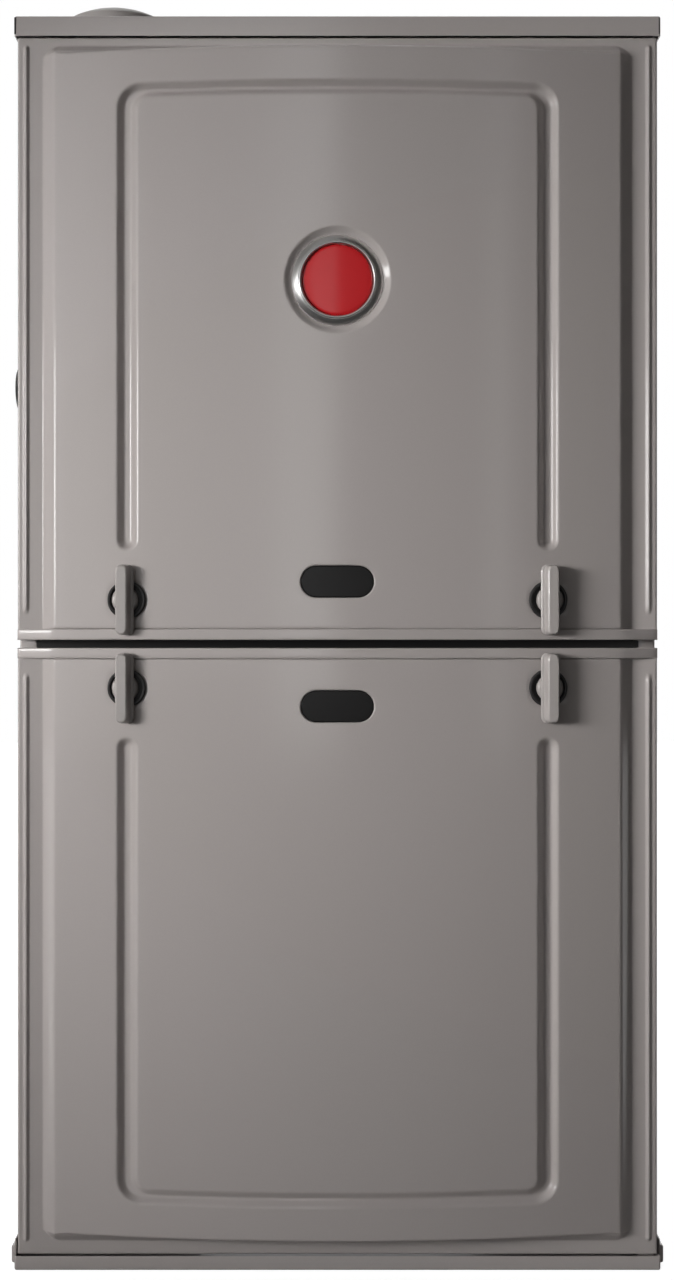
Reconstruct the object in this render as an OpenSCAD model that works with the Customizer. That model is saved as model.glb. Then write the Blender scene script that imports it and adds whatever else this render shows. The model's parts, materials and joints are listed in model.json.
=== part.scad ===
// Upflow forced air gas furnace: a sheet-steel cabinet with two lift-off doors, and the
// burners, heat exchangers, draft inducer, blower and controls inside it.
// Millimetres, +Z up, doors facing -Y, origin on the floor under the middle of the cabinet.

/* [Casing] */
// Width of the casing
casing_w = 442; // [436:1:460]
// Depth of the casing behind its front flanges
casing_d = 705; // [695:1:740]
// Height from the floor to the top of the cap
casing_h = 863.6; // [855:0.1:890]
// Thickness of the casing steel
sheet = 1.2; // [0.9:0.1:1.5]
// Width of the front flanges that the doors close on
front_flange = 12; // [11:0.5:14]
// Clearance between a skirt and the casing inside it
lap = 0.3; // [0.2:0.05:0.5]
// How far the cap and the pan stand in front of the door flanges
brow = 1.5; // [1:0.1:3]
// Height of the skirt around the cap
cap_skirt = 13.7; // [11:0.1:16]

/* [Air openings] */
// Width of the supply opening in the cap
supply_w = 390; // [360:1:396]
// Depth of the supply opening
supply_d = 430; // [380:1:440]
// Distance from the back of the casing to the supply opening
supply_back = 20; // [16:1:30]
// Height of the duct flanges around the supply opening
duct_flange = 20; // [14:1:26]
// Width of the return opening in the base pan
return_w = 380; // [340:1:396]
// Depth of the return opening
return_d = 480; // [420:1:520]
// Distance from the back of the casing to the return opening
return_back = 60; // [40:1:80]

/* [Base pan] */
// Height of the lip under the lower door
pan_lip = 9.7; // [8:0.1:11]
// Height of the side and back skirts
pan_skirt = 20.7; // [17:0.1:26]
// Thickness of the rolled hems on the sides
hem_t = 3.6; // [2.5:0.1:4.5]
// Height of the hems
hem_h = 12.5; // [10:0.5:14]
// Height of the hems' lower edge
hem_z = 2; // [1:0.5:3]
// Distance from the pan's front to the hems
hem_front = 10; // [6:1:20]

/* [Doors] */
// Height of the seam between the doors
seam_z = 431.2; // [425:0.1:438]
// Width of the seam
seam_gap = 5.5; // [4:0.1:8]
// Clearance above the upper door and below the lower one
door_end_gap = 0.8; // [0.5:0.1:2.5]
// Distance from the casing's side to the door's edge
door_inset = 0.6; // [0.5:0.1:4]
// Depth of the door's turned-back edges
door_depth = 14; // [12:0.5:16]
// Clearance between the doors and the casing's face
door_gap = 0.3; // [0.2:0.05:0.6]
// Width of the lips that are turned in behind the door's edges
door_lip = 10; // [8:0.5:12]
// Width of the flat margin beside the raised panel
margin_side = 16.9; // [15:0.1:19]
// Margin between the raised panel and the upper door's top
margin_top = 6.8; // [4:0.1:10]
// Margin between the raised panel and the lower door's bottom
margin_bottom = 10.5; // [6:0.1:12]
// Width of the raised panel's sloping sides
slope_side = 10; // [8:0.5:12]
// Height of the raised panel's sloping end
slope_end = 5.4; // [4:0.1:8]
// How far the panel's edges are raised
rise = 8; // [6.5:0.1:10]
// Height of the upright step between the sloping end and the crest
end_step = 0.8; // [0.5:0.1:1.5]
// How far the panel bows out between its edges
bow = 20; // [16:0.5:24]
// Distance from the door's edge to the bead's middle
bead_in = 6; // [3.6:0.1:6.5]
// Width of the bead
bead_w = 4.5; // [3.5:0.1:5.5]
// Height of the bead
bead_h = 1.5; // [1:0.1:2]
// Distance from the seam edge to the bead
bead_near = 19.6; // [15:0.1:25]
// Thickness of the door's insulation behind the margin plane
liner_t = 10; // [6:0.5:11]
// Clearance around the door's insulation
liner_gap = 0.3; // [0.2:0.1:0.6]

/* [Door end rails] */
// Height of the rail along the seam edge
rail_h = 7.2; // [6:0.1:9]
// Gap between the rail and the raised panel
rail_gap = 0.4; // [0.3:0.1:1]
// How far the rail stands over the raised panel
rail_proud = 1; // [0.6:0.1:1.5]

/* [Groove] */
// Distance from the raised panel's crest to the groove
groove_in = 43.2; // [38:0.1:48]
// Width of the groove's upright legs
groove_w = 14; // [12:0.5:16]
// Width of the groove across the door's end
groove_end_w = 9.8; // [8:0.1:12]
// Depth of the groove
groove_depth = 4.5; // [3:0.1:5]
// Distance from the seam edge to the legs' ends
groove_near = 61.2; // [58:0.1:66]
// Distance from the raised panel's end to the groove
groove_far = 29.4; // [26:0.1:36]
// Radius of the groove's outer corners
groove_r = 16.6; // [14.5:0.1:20]
// Radius of the groove's inner corners
groove_ri = 8; // [6:0.1:9]

/* [Badge] */
// Distance from the seam edge to the badge's middle
badge_v = 243.4; // [220:0.1:270]
// Diameter of the round recess
recess_d = 71.5; // [68:0.1:76]
// Depth of the recess at its middle
recess_depth = 3.5; // [2.5:0.1:4.5]
// Outer diameter of the bezel
bezel_d = 60.7; // [56:0.1:64]
// Thickness of the bezel
bezel_t = 4.2; // [3:0.1:5]
// Diameter of the badge
badge_d = 48.4; // [44:0.1:52]
// Thickness of the badge
badge_t = 3; // [2:0.1:3.6]

/* [Sight windows] */
// Width of the window
sight_w = 49.5; // [44:0.1:56]
// Height of the window
sight_h = 21.6; // [18:0.1:24]
// Distance from the seam edge to the window's middle
sight_v = 39.4; // [36:0.1:42]
// Width of the glass's rim behind the skin
sight_rim = 3; // [2:0.1:4]
// Thickness of the rim
sight_rim_t = 2; // [1.5:0.1:3]
// How far the glass lies below the skin
sight_sunk = 0.8; // [0.5:0.1:1]
// Clearance around the glass
sight_gap = 0.15; // [0.1:0.05:0.3]

/* [Latches] */
// Distance from the seam edge to the latch's axis
latch_v = 27.2; // [25:0.1:30]
// Outer diameter of the collar
collar_d = 26; // [24:0.1:28]
// Diameter of the hub inside the collar
hub_d = 21.5; // [19:0.1:22.5]
// How far the collar stands over the skin
collar_proud = 3.5; // [3:0.1:4.5]
// Thickness of the hub
hub_t = 3.5; // [3:0.1:4.5]
// Thickness of the web inside the collar that carries the spindle
collar_web = 2; // [1.5:0.1:2.5]
// Height of the hub's bevelled edge
hub_edge = 1.3; // [0.8:0.1:2]
// Width of the grip bar at its back
grip_w = 12.8; // [11:0.1:14]
// Length of the grip bar at its back
grip_l = 48; // [44:0.5:50]
// Width of the grip bar's face
grip_face_w = 6; // [5:0.1:7.5]
// Length of the grip bar's face
grip_face_l = 46; // [40:0.5:47]
// Cut across the grip bar's corners
grip_cut = 3; // [2:0.1:3.4]
// Height of the grip bar
grip_t = 7; // [6:0.1:8]
// Diameter of the spindle
spindle_d = 6; // [5:0.1:6.2]
// Length of the wing behind the centre rail
wing_l = 30; // [26:0.5:32]
// Width of the wing
wing_w = 5.6; // [5:0.1:6]
// Thickness of the wing
wing_t = 3; // [2:0.1:4]
// Clearance behind the centre rail and around the wing in its slot
wing_gap = 0.9; // [0.6:0.1:1.2]
// Radial clearance of a shaft that turns in its bearing
running = 0.06; // [0.03:0.01:0.09]
// Clearance between pieces that move past each other
free = 0.3; // [0.25:0.05:0.5]

/* [Centre rail] */
// Height of the channel behind the seam
channel_h = 110; // [104:1:120]
// Depth of the channel
channel_d = 25; // [22:1:30]
// Thickness of the channel
channel_t = 1.5; // [1.2:0.1:2]
// Gap between the channel and each front flange
channel_gap = 3.3; // [2:0.1:5]

/* [Compartments] */
// Distance from the casing's face to the vestibule panel
vestibule_d = 215; // [205:1:225]
// Thickness of the casing insulation
insulation_t = 12; // [8:1:14]

/* [Heat exchangers] */
// Middle of the heat exchangers across the casing
bank_x = -40; // [-46:1:-36]
// Number of burners and primary tubes
tube_n = 4; // [3:1:4]
// Distance between the tubes
tube_pitch = 60; // [52:1:62]
// Outer diameter of a primary tube
tube_d = 38; // [34:1:42]
// Wall of the tubes
tube_wall = 1.2; // [1:0.1:1.5]
// Height of the tubes' inlets
inlet_z = 745; // [735:1:755]
// Radius of the return bends
bend_r = 38; // [34:1:42]
// Distance from the vestibule panel to the header
exchanger_l = 384; // [360:1:400]
// Length of the middle pass
middle_pass = 290; // [260:1:310]
// Depth of the header box
header_d = 46; // [40:1:54]
// Width of the secondary coil, the header and the collector box
coil_w = 250; // [240:1:256]
// Height of the secondary coil
coil_h = 90; // [80:1:96]
// Height of the coil over the blower deck
coil_rise = 22; // [20:1:30]
// Diameter of a coil tube
coil_tube_d = 14; // [12:0.5:16]
// Number of coil tubes in a row
coil_n = 6; // [4:1:7]
// Number of fins
fin_n = 14; // [8:1:20]
// Thickness of a fin
fin_t = 0.6; // [0.4:0.1:0.8]

/* [Burners] */
// Height of the burner box
box_h = 90; // [80:1:100]
// Depth of the burner box
box_d = 120; // [110:1:130]
// Space between the outer burners' middles and the box's ends
box_end = 40; // [34:1:42]
// Thickness of the box's steel
box_t = 1.5; // [1.2:0.1:2]
// Diameter of a burner
burner_d = 30; // [24:1:34]
// Length of a burner
burner_l = 84; // [74:1:88]
// Gap between the burners and the box's front
burner_front = 12; // [10:1:16]
// Diameter of the manifold pipe
manifold_d = 21.3; // [17:0.1:24]
// Distance from the manifold's axis to the box
manifold_out = 20; // [17:1:24]
// Diameter of an orifice spud
spud_d = 11; // [9:0.5:13]

/* [Gas valve] */
// Width of the valve
valve_w = 72; // [64:1:78]
// Depth of the valve
valve_d = 58; // [50:1:64]
// Height of the valve
valve_h = 84; // [76:1:92]
// Middle of the valve across the casing
valve_x = -146; // [-150:1:-142]
// Height of the valve's middle
valve_z = 611; // [605:1:618]
// Diameter of the threaded gas inlet
gas_in_d = 18.6; // [15:0.1:20]
// Diameter of the valve's knob
knob_d = 24; // [20:1:28]
// Height of the knob
knob_t = 11; // [8:0.5:14]

/* [Draft inducer] */
// Axis of the inducer across the casing
inducer_x = 55; // [52:1:58]
// Height of the inducer's axis
inducer_z = 520; // [515:1:524]
// Diameter of the inducer's drum
drum_d = 150; // [140:1:156]
// Wall of the drum
drum_wall = 2.5; // [2:0.1:3]
// Diameter of the inducer's wheel
ind_wheel_d = 122; // [110:1:128]
// Width of the inducer's wheel
ind_wheel_w = 30; // [24:1:36]
// Diameter of the inducer's shaft
ind_shaft_d = 8; // [6:0.5:9]
// Diameter of the inducer's inlet
ind_inlet_d = 46; // [40:1:48]
// Diameter of the inducer's motor
ind_motor_d = 84; // [76:1:90]
// Length of the inducer's motor
ind_motor_l = 56; // [48:1:60]
// Space for the cooling fan between the drum and the motor
fan_space = 15; // [13:1:18]
// Diameter of the cooling fan
fan_d = 70; // [60:1:74]
// Depth of the collector box
collector_d = 34; // [30:1:38]
// Wall of the collector box
collector_wall = 3; // [2.5:0.1:3.5]

/* [Vent and intake] */
// Axis of the vent pipe across the casing
vent_x = 131; // [129:1:136]
// Outer diameter of the vent pipe
vent_d = 60.3; // [58:0.1:62]
// Wall of the vent pipe
vent_wall = 3.9; // [3:0.1:4.5]
// Height of the vent pipe over the cap
vent_rise = 36; // [30:1:40]
// Height of the collar that holds the vent pipe on the cap
vent_collar = 5; // [3:0.5:8]
// Width of that collar around the pipe
vent_brim = 5; // [3:0.5:8]
// Height of the outlet spigot's top over the inducer's axis
spigot_rise = 96; // [90:1:104]
// Length of the coupling's hold on the vent pipe
coupling_over = 20; // [16:1:26]
// Wall of the rubber coupling
coupling_wall = 4; // [3:0.5:5]
// Axis of the intake across the casing
intake_x = -158.5; // [-162:0.5:-150]
// Distance from the casing's face to the intake's axis
intake_back = 42; // [40:1:50]
// Diameter of the cap over the intake
dome_d = 70; // [66:1:80]
// Height of the cap's straight side
dome_side = 11; // [9:0.5:16]
// Height of the cap's crown
dome_crown = 9.5; // [7:0.5:11]
// Diameter of the hole under the cap
intake_hole = 60; // [54:1:62]

/* [Blower] */
// Distance from the casing's face to the blower's axis
blower_back = 430; // [420:1:440]
// Height of the blower's axis
blower_z = 200; // [196:1:206]
// Diameter of the blower wheel
wheel_d = 254; // [240:1:258]
// Width of the blower wheel
wheel_w = 200; // [180:1:206]
// Depth of the blades
blade = 22; // [18:1:24]
// Number of blades
blade_n = 36; // [24:1:40]
// Clearance around the wheel where the scroll starts
scroll_start = 9; // [7:1:12]
// Growth of the scroll over its turn
scroll_growth = 54; // [44:1:58]
// Clearance between the wheel and each side of the housing
wheel_side = 14; // [12:1:18]
// Diameter of the housing's inlets
inlet_d = 206; // [190:1:208]
// Diameter of the blower shaft
shaft_d = 12.7; // [11:0.1:14]
// Diameter of the blower motor
motor_d = 140; // [126:1:146]
// Length of the blower motor
motor_l = 104; // [96:1:110]
// How far the motor stands out of the housing
motor_out = 30; // [26:1:36]
// Width of the motor's band
band_w = 20; // [16:1:24]
// Thickness of the band and its arms
band_t = 3; // [2:0.5:4]

/* [Controls] */
// Width of the control tray
tray_w = 280; // [270:1:290]
// Height of the control tray
tray_h = 170; // [165:1:180]
// Width of the control board
board_w = 160; // [150:1:170]
// Height of the control board
board_h = 120; // [110:1:130]
// Height of the board's stand-offs
standoff = 8; // [6:0.5:10]
// Width of the transformer
trafo_w = 56; // [50:1:60]
// Travel of the door switch beyond its closed place
plunger_over = 2; // [1:0.5:3]
// Diameter of the plunger
plunger_d = 7; // [6:0.1:8]
// Distance from the middle to the door switch
switch_x = 60; // [50:1:70]
// Width and depth of the condensate trap
trap_w = 46; // [40:1:50]
// Length of the condensate trap
trap_l = 70; // [60:1:80]
// Height of the condensate trap
trap_h = 120; // [110:1:130]
// Distance from the trap's front and back to its two ports
trap_port = 17; // [14:1:20]
// Height of the trap's ports
port_h = 12; // [8:1:16]
// Diameter of the drain hose
hose_d = 16; // [13:0.5:18]
// Diameter of the wire bundle
wire_d = 9; // [7:0.5:11]
// Diameter of the side plug
plug_d = 30; // [28:0.5:32]
// Height of the side plug's middle
plug_z = 611; // [600:1:620]
// Distance from the casing's face to the side plug's middle
plug_back = 24; // [22:1:30]

/* [Hidden] */
$fn = 48;

paint = "#8A827E";
galvanised = "#A9ABAC";
black = "#232323";
steel = "#B4B6B8";

// The door: its width, its raised panel and the bow's radius.
door_w = casing_w - 2*door_inset;
foot = door_w/2 - margin_side;
crest = foot - slope_side;
bow_r = (crest*crest + bow*bow)/(2*bow);
function skin(x) = rise + bow - bow_r + sqrt(bow_r*bow_r - x*x);
groove_x = crest - groove_in;
latch_x = groove_x - groove_w/2;

// Levels of the latch in front of the margin plane.
collar_front = skin(latch_x) + collar_proud;
hub_front = collar_front - 1;
hub_back = hub_front - hub_t;
grip_back = collar_front + free;
grip_front = grip_back + grip_t;

// Planes from front to back; the frame's middle is at y = 0.
reach = max(skin(0) + rail_proud, grip_front);
depth = reach + door_depth + door_gap + casing_d + lap + sheet;
door_y = reach - depth/2;
case_y = door_y + door_depth + door_gap;
back_y = case_y + casing_d;
brow_y = door_y - brow;
skirt_y = back_y + lap + sheet;
inside = casing_w/2 - sheet;
skirt_x = casing_w/2 + lap + sheet;
function behind(d) = case_y + d;

// Levels from the floor up.
cap_z = casing_h - sheet;
deck_z = seam_z + sheet/2;
upper_z = seam_z + seam_gap/2;
lower_z = seam_z - seam_gap/2;
upper_h = casing_h - cap_skirt - door_end_gap - upper_z;
lower_h = lower_z - pan_lip - door_end_gap;
latch_rise = seam_gap/2 + latch_v;

// Places inside the vestibule.
vest_y = behind(vestibule_d);
tube_x = [for (i = [0:tube_n-1]) bank_x + (i - (tube_n-1)/2)*tube_pitch];
header_y = vest_y + exchanger_l;
coil_z = deck_z + coil_rise;
box_w = (tube_n-1)*tube_pitch + 2*box_end;
box_y = vest_y - box_d;
manifold_y = box_y - manifold_out;
collector_y = vest_y - collector_d;
drum_l = vent_d + 2*drum_wall;
drum_y = collector_y - drum_l;
vent_y = collector_y - drum_l/2;
valve_y = manifold_y;
spigot_z = inducer_z + spigot_rise;

// Places in the blower compartment.
blower_y = behind(blower_back);
wheel_r = wheel_d/2;
housing_x = wheel_w/2 + wheel_side + sheet;
scroll_r = wheel_r + scroll_start;
outlet_h = deck_z - sheet - blower_z;
motor_x = housing_x + motor_out - motor_l;
rail_low = seam_z - channel_h/2;
tray_y = behind(channel_d + 4);
tray_z = rail_low - tray_h;
tray_x = bank_x - tray_w/2;
switch_z = lower_z - door_lip/2;
switch_h = 20;
trap_y = behind(60);
trap_z = 250;

// ---- shared shapes ----

// A box from its lowest corner to its highest.
module block(a, b) {
  translate(a) cube(b - a);
}

// A rod along Y, from y = a to y = b.
module rod_y(x, z, a, b, d) {
  translate([x, a, z]) rotate([-90, 0, 0]) cylinder(d = d, h = b - a);
}

// A rod along X, from x = a to x = b.
module rod_x(y, z, a, b, d) {
  translate([a, y, z]) rotate([0, 90, 0]) cylinder(d = d, h = b - a);
}

// A flat form across the door, w and h around its middle, with round ends, from y = a to b.
module stadium(w, h, z, a, b) {
  block([-(w - h)/2, a, z - h/2], [(w - h)/2, b, z + h/2]);
  for (s = [-1, 1]) rod_y(s*(w - h)/2, z, a, b, h);
}

// A tube along a route of points, with its corners rounded.
function unit(v) = v/norm(v);
function corner(p, i, r) =
  let (a = unit(p[i-1] - p[i]), b = unit(p[i+1] - p[i]))
  [for (t = [0:0.25:1]) p[i] + a*r*(1-t)*(1-t) + b*r*t*t];
function rounded(p, r) = concat(
  [p[0]],
  [for (i = [1:len(p)-2]) each corner(p, i, r)],
  [p[len(p)-1]]);
function heading(p, i) =
  unit(p[min(i+1, len(p)-1)] - p[max(i-1, 0)]);
function side_of(p, i) =
  let (t = heading(p, i), u = i == 0 ? (abs(t[0]) < 0.9 ? [1, 0, 0] : [0, 1, 0]) : side_of(p, i-1))
  unit(u - (u*t)*t);
module sweep(points, d, r, sides = 10) {
  p = rounded(points, r);
  n = len(p);
  rings = [for (i = [0:n-1]) let (u = side_of(p, i), w = cross(heading(p, i), u))
    for (k = [0:sides-1]) p[i] + d/2*(cos(360*k/sides)*u + sin(360*k/sides)*w)];
  walls = [for (i = [0:n-2]) for (k = [0:sides-1]) each let (a = i*sides + k,
    b = i*sides + (k+1)%sides) [[a, a+sides, b], [b, a+sides, b+sides]]];
  ends = concat([for (k = [1:sides-2]) [0, k, k+1]],
    [for (k = [1:sides-2]) [(n-1)*sides, (n-1)*sides+k+1, (n-1)*sides+k]]);
  polyhedron(points = rings, faces = concat(walls, ends));
}

// ---- doors: x across, y = 0 at the margin plane, z measured from the seam edge ----

// The bowed form in plan, from z = a to b: its foot, and how far it is lifted.
module bowed(foot_x, lift, a, b) {
  beyond = 2*(crest + lift) - foot_x;
  high = 2*(rise + lift);
  mirror([0, 1, 0]) translate([0, 0, a]) linear_extrude(b - a) intersection() {
    polygon([[-foot_x, -2*sheet], [-foot_x, 0], [-beyond, high], [-beyond, 3*bow],
      [beyond, 3*bow], [beyond, high], [foot_x, 0], [foot_x, -2*sheet]]);
    translate([0, rise + bow - bow_r]) circle(r = bow_r + lift, $fn = 360);
  }
}

// The raised panel's form, cut back by t on every side; its end slopes at height h.
module panel_form(h, t) {
  near = rail_h + rail_gap + t;
  intersection() {
    bowed(foot - t, -t, near, h);
    rotate([90, 0, 90]) linear_extrude(door_w, center = true)
      polygon([[2*sheet, near], [2*sheet, h - t], [0, h - t], [end_step - rise + t, h - slope_end - t],
        [-3*bow, h - slope_end - t], [-3*bow, near]]);
  }
}

// The groove's outline, a band around three sides, widened by t.
module groove_band(h, t) {
  leg = groove_w/2;
  low = groove_near + leg;
  out = h - groove_far;
  in_x = groove_x - groove_w;
  in_z = out - groove_end_w;
  difference() {
    union() {
      translate([-groove_x - t, low]) square([2*(groove_x + t), out - groove_r - low]);
      translate([-groove_x + groove_r, low]) square([2*(groove_x - groove_r), out + t - low]);
      for (s = [-1, 1]) {
        translate([s*(groove_x - groove_r), out - groove_r]) circle(r = groove_r + t);
        translate([s*(groove_x - leg), low]) circle(r = leg + t);
      }
    }
    translate([-in_x + t, 0]) square([2*(in_x - t), in_z - groove_ri]);
    translate([-in_x + groove_ri, 0]) square([2*(in_x - groove_ri), in_z - t]);
    for (s = [-1, 1]) translate([s*(in_x - groove_ri), in_z - groove_ri])
      circle(r = groove_ri - t);
  }
}

// The groove as a cut into the bowed face, t deeper and wider for the skin's inside.
module groove_cut(h, t) {
  difference() {
    rotate([90, 0, 0]) linear_extrude(3*bow) groove_band(h, t);
    translate([0, bow_r - rise - bow, 0])
      cylinder(r = bow_r - groove_depth - t, h = h, $fn = 360);
  }
}

// The badge's round recess, t deeper and wider for the skin's inside.
module recess_cut(t) {
  rod_y(0, badge_v, -3*bow, -(skin(0) - recess_depth - t), recess_d + 2*t);
}

// A door: h is its height, margin the flat end beyond the raised panel.
module door(h, margin, badge) {
  top = h - margin;
  bead_x = door_w/2 - bead_in;
  difference() {
    union() {
      panel_form(top, 0);
      block([-door_w/2, 0, 0], [door_w/2, door_depth, h]);
      for (s = [-1, 1]) translate([s*bead_x, 0, bead_near]) linear_extrude(top - bead_near)
        polygon([[-bead_w/2, 0], [-bead_w/4, -bead_h], [bead_w/4, -bead_h], [bead_w/2, 0]]);
    }
    groove_cut(top, 0);
    if (badge) recess_cut(0);
    difference() {
      union() {
        panel_form(top, sheet);
        block([-door_w/2 + sheet, sheet, sheet], [door_w/2 - sheet, door_depth - sheet, h - sheet]);
        block([-door_w/2 + door_lip, sheet, door_lip], [door_w/2 - door_lip, door_depth + 1, h - door_lip]);
      }
      groove_cut(top, sheet);
      if (badge) recess_cut(sheet);
    }
    stadium(sight_w, sight_h, sight_v, -3*bow, 0);
    for (s = [-1, 1]) rod_y(s*latch_x, latch_v, -3*bow, 0, collar_d + 0.2);
  }
}

// The insulation that fills the raised panel's back, bowed to lie against the groove's floor.
module door_liner(h, margin) {
  hold = groove_depth + sheet + liner_gap;
  side = foot - rise - sheet - liner_gap;
  low = groove_near - 6;
  high = h - margin - slope_end - sheet - liner_gap;
  intersection() {
    block([-side, -3*bow, low], [side, sheet + liner_t, high]);
    translate([0, bow_r - rise - bow, low]) cylinder(r = bow_r - hold, h = high - low, $fn = 360);
  }
}

// The hollow rail along the seam edge.
module end_rail() {
  difference() {
    bowed(door_w/2, rail_proud, 0, rail_h);
    translate([-door_w/2, 0, -1]) cube([door_w, 3*sheet, rail_h + 2]);
    bowed(door_w/2 - 2*sheet, rail_proud - sheet, sheet, rail_h - sheet);
  }
}

module sight_glass() {
  front = -(skin(0) - sight_sunk);
  back = -(skin(sight_w/2 + sight_rim) - sheet - sight_gap);
  union() {
    stadium(sight_w - 2*sight_gap, sight_h - 2*sight_gap, sight_v, front, back + sight_rim_t);
    stadium(sight_w + 2*sight_rim, sight_h + 2*sight_rim, sight_v, back, back + sight_rim_t);
  }
}

// The collars pressed into the skin, each with a web that carries its latch's spindle.
module latch_collars() {
  web_front = -(hub_back - free);
  for (s = [-1, 1]) difference() {
    rod_y(s*latch_x, latch_v, -collar_front, web_front + collar_web, collar_d);
    rod_y(s*latch_x, latch_v, -collar_front - 1, web_front, hub_d + 2*free);
    rod_y(s*latch_x, latch_v, web_front - 1, web_front + collar_web + 1, spindle_d + 2*running);
  }
}

// The grip bar, drafted on every side and cut at its corners.
module grip() {
  w = grip_w/2;
  l = grip_l/2;
  cut_l = 1.5*grip_cut;
  intersection() {
    rotate([90, 0, 90]) linear_extrude(grip_w, center = true) polygon([[-grip_back, -l],
      [-grip_front, -grip_face_l/2], [-grip_front, grip_face_l/2], [-grip_back, l]]);
    linear_extrude(grip_l, center = true) polygon([[-w, -grip_back],
      [-grip_face_w/2, -grip_front], [grip_face_w/2, -grip_front], [w, -grip_back]]);
    rotate([90, 0, 0]) linear_extrude(grip_front + 1) polygon([[-w, -l + cut_l], [-w, l - cut_l],
      [-w + grip_cut, l], [w - grip_cut, l], [w, l - cut_l], [w, -l + cut_l], [w - grip_cut, -l],
      [-w + grip_cut, -l]]);
  }
}

// A quarter-turn latch at the axis x: hub, grip bar, spindle and wing.
module latch(x) {
  wing_y = door_depth + door_gap + channel_t + wing_gap;
  edge_y = -hub_front + hub_edge;
  rod_y(x, latch_v, edge_y, -hub_back, hub_d);
  translate([x, edge_y, latch_v]) rotate([90, 0, 0])
    cylinder(d1 = hub_d, d2 = hub_d - 4*hub_edge, h = hub_edge);
  rod_y(x, latch_v, -hub_back, wing_y + wing_t, spindle_d);
  block([x - hub_d/4, -grip_back, latch_v - hub_d/4], [x + hub_d/4, edge_y, latch_v + hub_d/4]);
  translate([x, 0, latch_v]) grip();
  block([x - wing_w/2, wing_y, latch_v - wing_l/2], [x + wing_w/2, wing_y + wing_t, latch_v + wing_l/2]);
}

module on_upper() {
  translate([0, door_y, upper_z]) children();
}
module on_lower() {
  translate([0, door_y, lower_z]) mirror([0, 0, 1]) children();
}

module upper_door() color(paint) on_upper() door(upper_h, margin_top, true);
module lower_door() color(paint) on_lower() door(lower_h, margin_bottom, false);
module upper_door_liner() color("#C9C6BE") on_upper() door_liner(upper_h, margin_top);
module upper_door_rail() color(paint) on_upper() end_rail();
module lower_door_rail() color(paint) on_lower() end_rail();
module upper_sight_glass() color("#2B2829") on_upper() sight_glass();
module lower_sight_glass() color("#2B2829") on_lower() sight_glass();
module upper_latch_collars() color(black) on_upper() latch_collars();
module lower_latch_collars() color(black) on_lower() latch_collars();
module upper_left_latch() color("#B9B3AD") on_upper() latch(-latch_x);
module upper_right_latch() color("#B9B3AD") on_upper() latch(latch_x);
module lower_left_latch() color("#B9B3AD") on_lower() latch(-latch_x);
module lower_right_latch() color("#B9B3AD") on_lower() latch(latch_x);

// The badge sits on the recess's floor, inside its bezel.
module badge_bezel() color("#D8DADB") on_upper() difference() {
  floor_y = -(skin(0) - recess_depth);
  rod_y(0, badge_v, floor_y - bezel_t, floor_y, bezel_d);
  rod_y(0, badge_v, floor_y - bezel_t - 1, floor_y + 1, badge_d + 0.4);
}
module badge_disc() color("#A01C20") on_upper() {
  floor_y = -(skin(0) - recess_depth);
  rod_y(0, badge_v, floor_y - badge_t, floor_y, badge_d);
}

// ---- cabinet ----

module casing_wrap() color(paint) difference() {
  block([-casing_w/2, case_y, sheet], [casing_w/2, back_y, cap_z]);
  block([-inside, case_y + sheet, 0], [inside, back_y - sheet, casing_h]);
  block([-casing_w/2 + front_flange, case_y - 1, 0],
    [casing_w/2 - front_flange, case_y + sheet + 1, casing_h]);
  rod_x(behind(plug_back), plug_z, -casing_w/2 - 1, -inside + 1, 0.8*plug_d);
}

module top_panel() {
  sy = back_y - sheet - supply_back;
  color(paint) difference() {
    union() {
      block([-skirt_x, brow_y, casing_h - cap_skirt], [skirt_x, skirt_y, casing_h]);
      block([-supply_w/2 - sheet, sy - supply_d - sheet, cap_z],
        [supply_w/2 + sheet, sy + sheet, casing_h + duct_flange]);
    }
    block([-skirt_x + sheet, brow_y + sheet, 0], [skirt_x - sheet, skirt_y - sheet, cap_z]);
    block([-supply_w/2, sy - supply_d, 0], [supply_w/2, sy, casing_h + duct_flange + 1]);
    translate([vent_x, vent_y, 0]) cylinder(d = vent_d + 2*free, h = casing_h + 1);
    translate([intake_x, behind(intake_back), 0]) cylinder(d = intake_hole, h = casing_h + 1);
  }
}

module base_pan() color(paint) {
  ry = back_y - return_back;
  difference() {
    block([-skirt_x, brow_y, 0], [skirt_x, skirt_y, pan_skirt]);
    block([-skirt_x + sheet, brow_y + sheet, sheet], [skirt_x - sheet, skirt_y - sheet, pan_skirt + 1]);
    block([-skirt_x - 1, brow_y - 1, pan_lip], [skirt_x + 1, brow_y + sheet + 1, pan_skirt + 1]);
    block([-return_w/2, ry - return_d, -1], [return_w/2, ry, sheet + 1]);
  }
  for (s = [-1, 1]) translate([s*(skirt_x + hem_t/2), brow_y + hem_front, hem_z])
    translate([-hem_t/2, 0, 0]) cube([hem_t, skirt_y - brow_y - hem_front, hem_h]);
}

// The channel behind the seam, slotted for the latches' wings.
module center_rail() {
  w = casing_w/2 - front_flange - channel_gap;
  slot_w = wing_w/2 + wing_gap/2;
  slot_l = wing_l/2 + 2*wing_gap;
  color("#4A4644") difference() {
    block([-w, case_y, seam_z - channel_h/2], [w, behind(channel_d), seam_z + channel_h/2]);
    block([-w - 1, behind(channel_t), seam_z - channel_h/2 + channel_t],
      [w + 1, behind(channel_d) + 1, seam_z + channel_h/2 - channel_t]);
    for (s = [-1, 1]) for (k = [-1, 1])
      block([s*latch_x - slot_w, case_y - 1, seam_z + k*latch_rise - slot_l],
        [s*latch_x + slot_w, behind(channel_t) + 1, seam_z + k*latch_rise + slot_l]);
    rod_y(switch_x, switch_z, case_y - 1, behind(channel_t) + 1, plunger_d + 2*free);
  }
}

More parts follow.
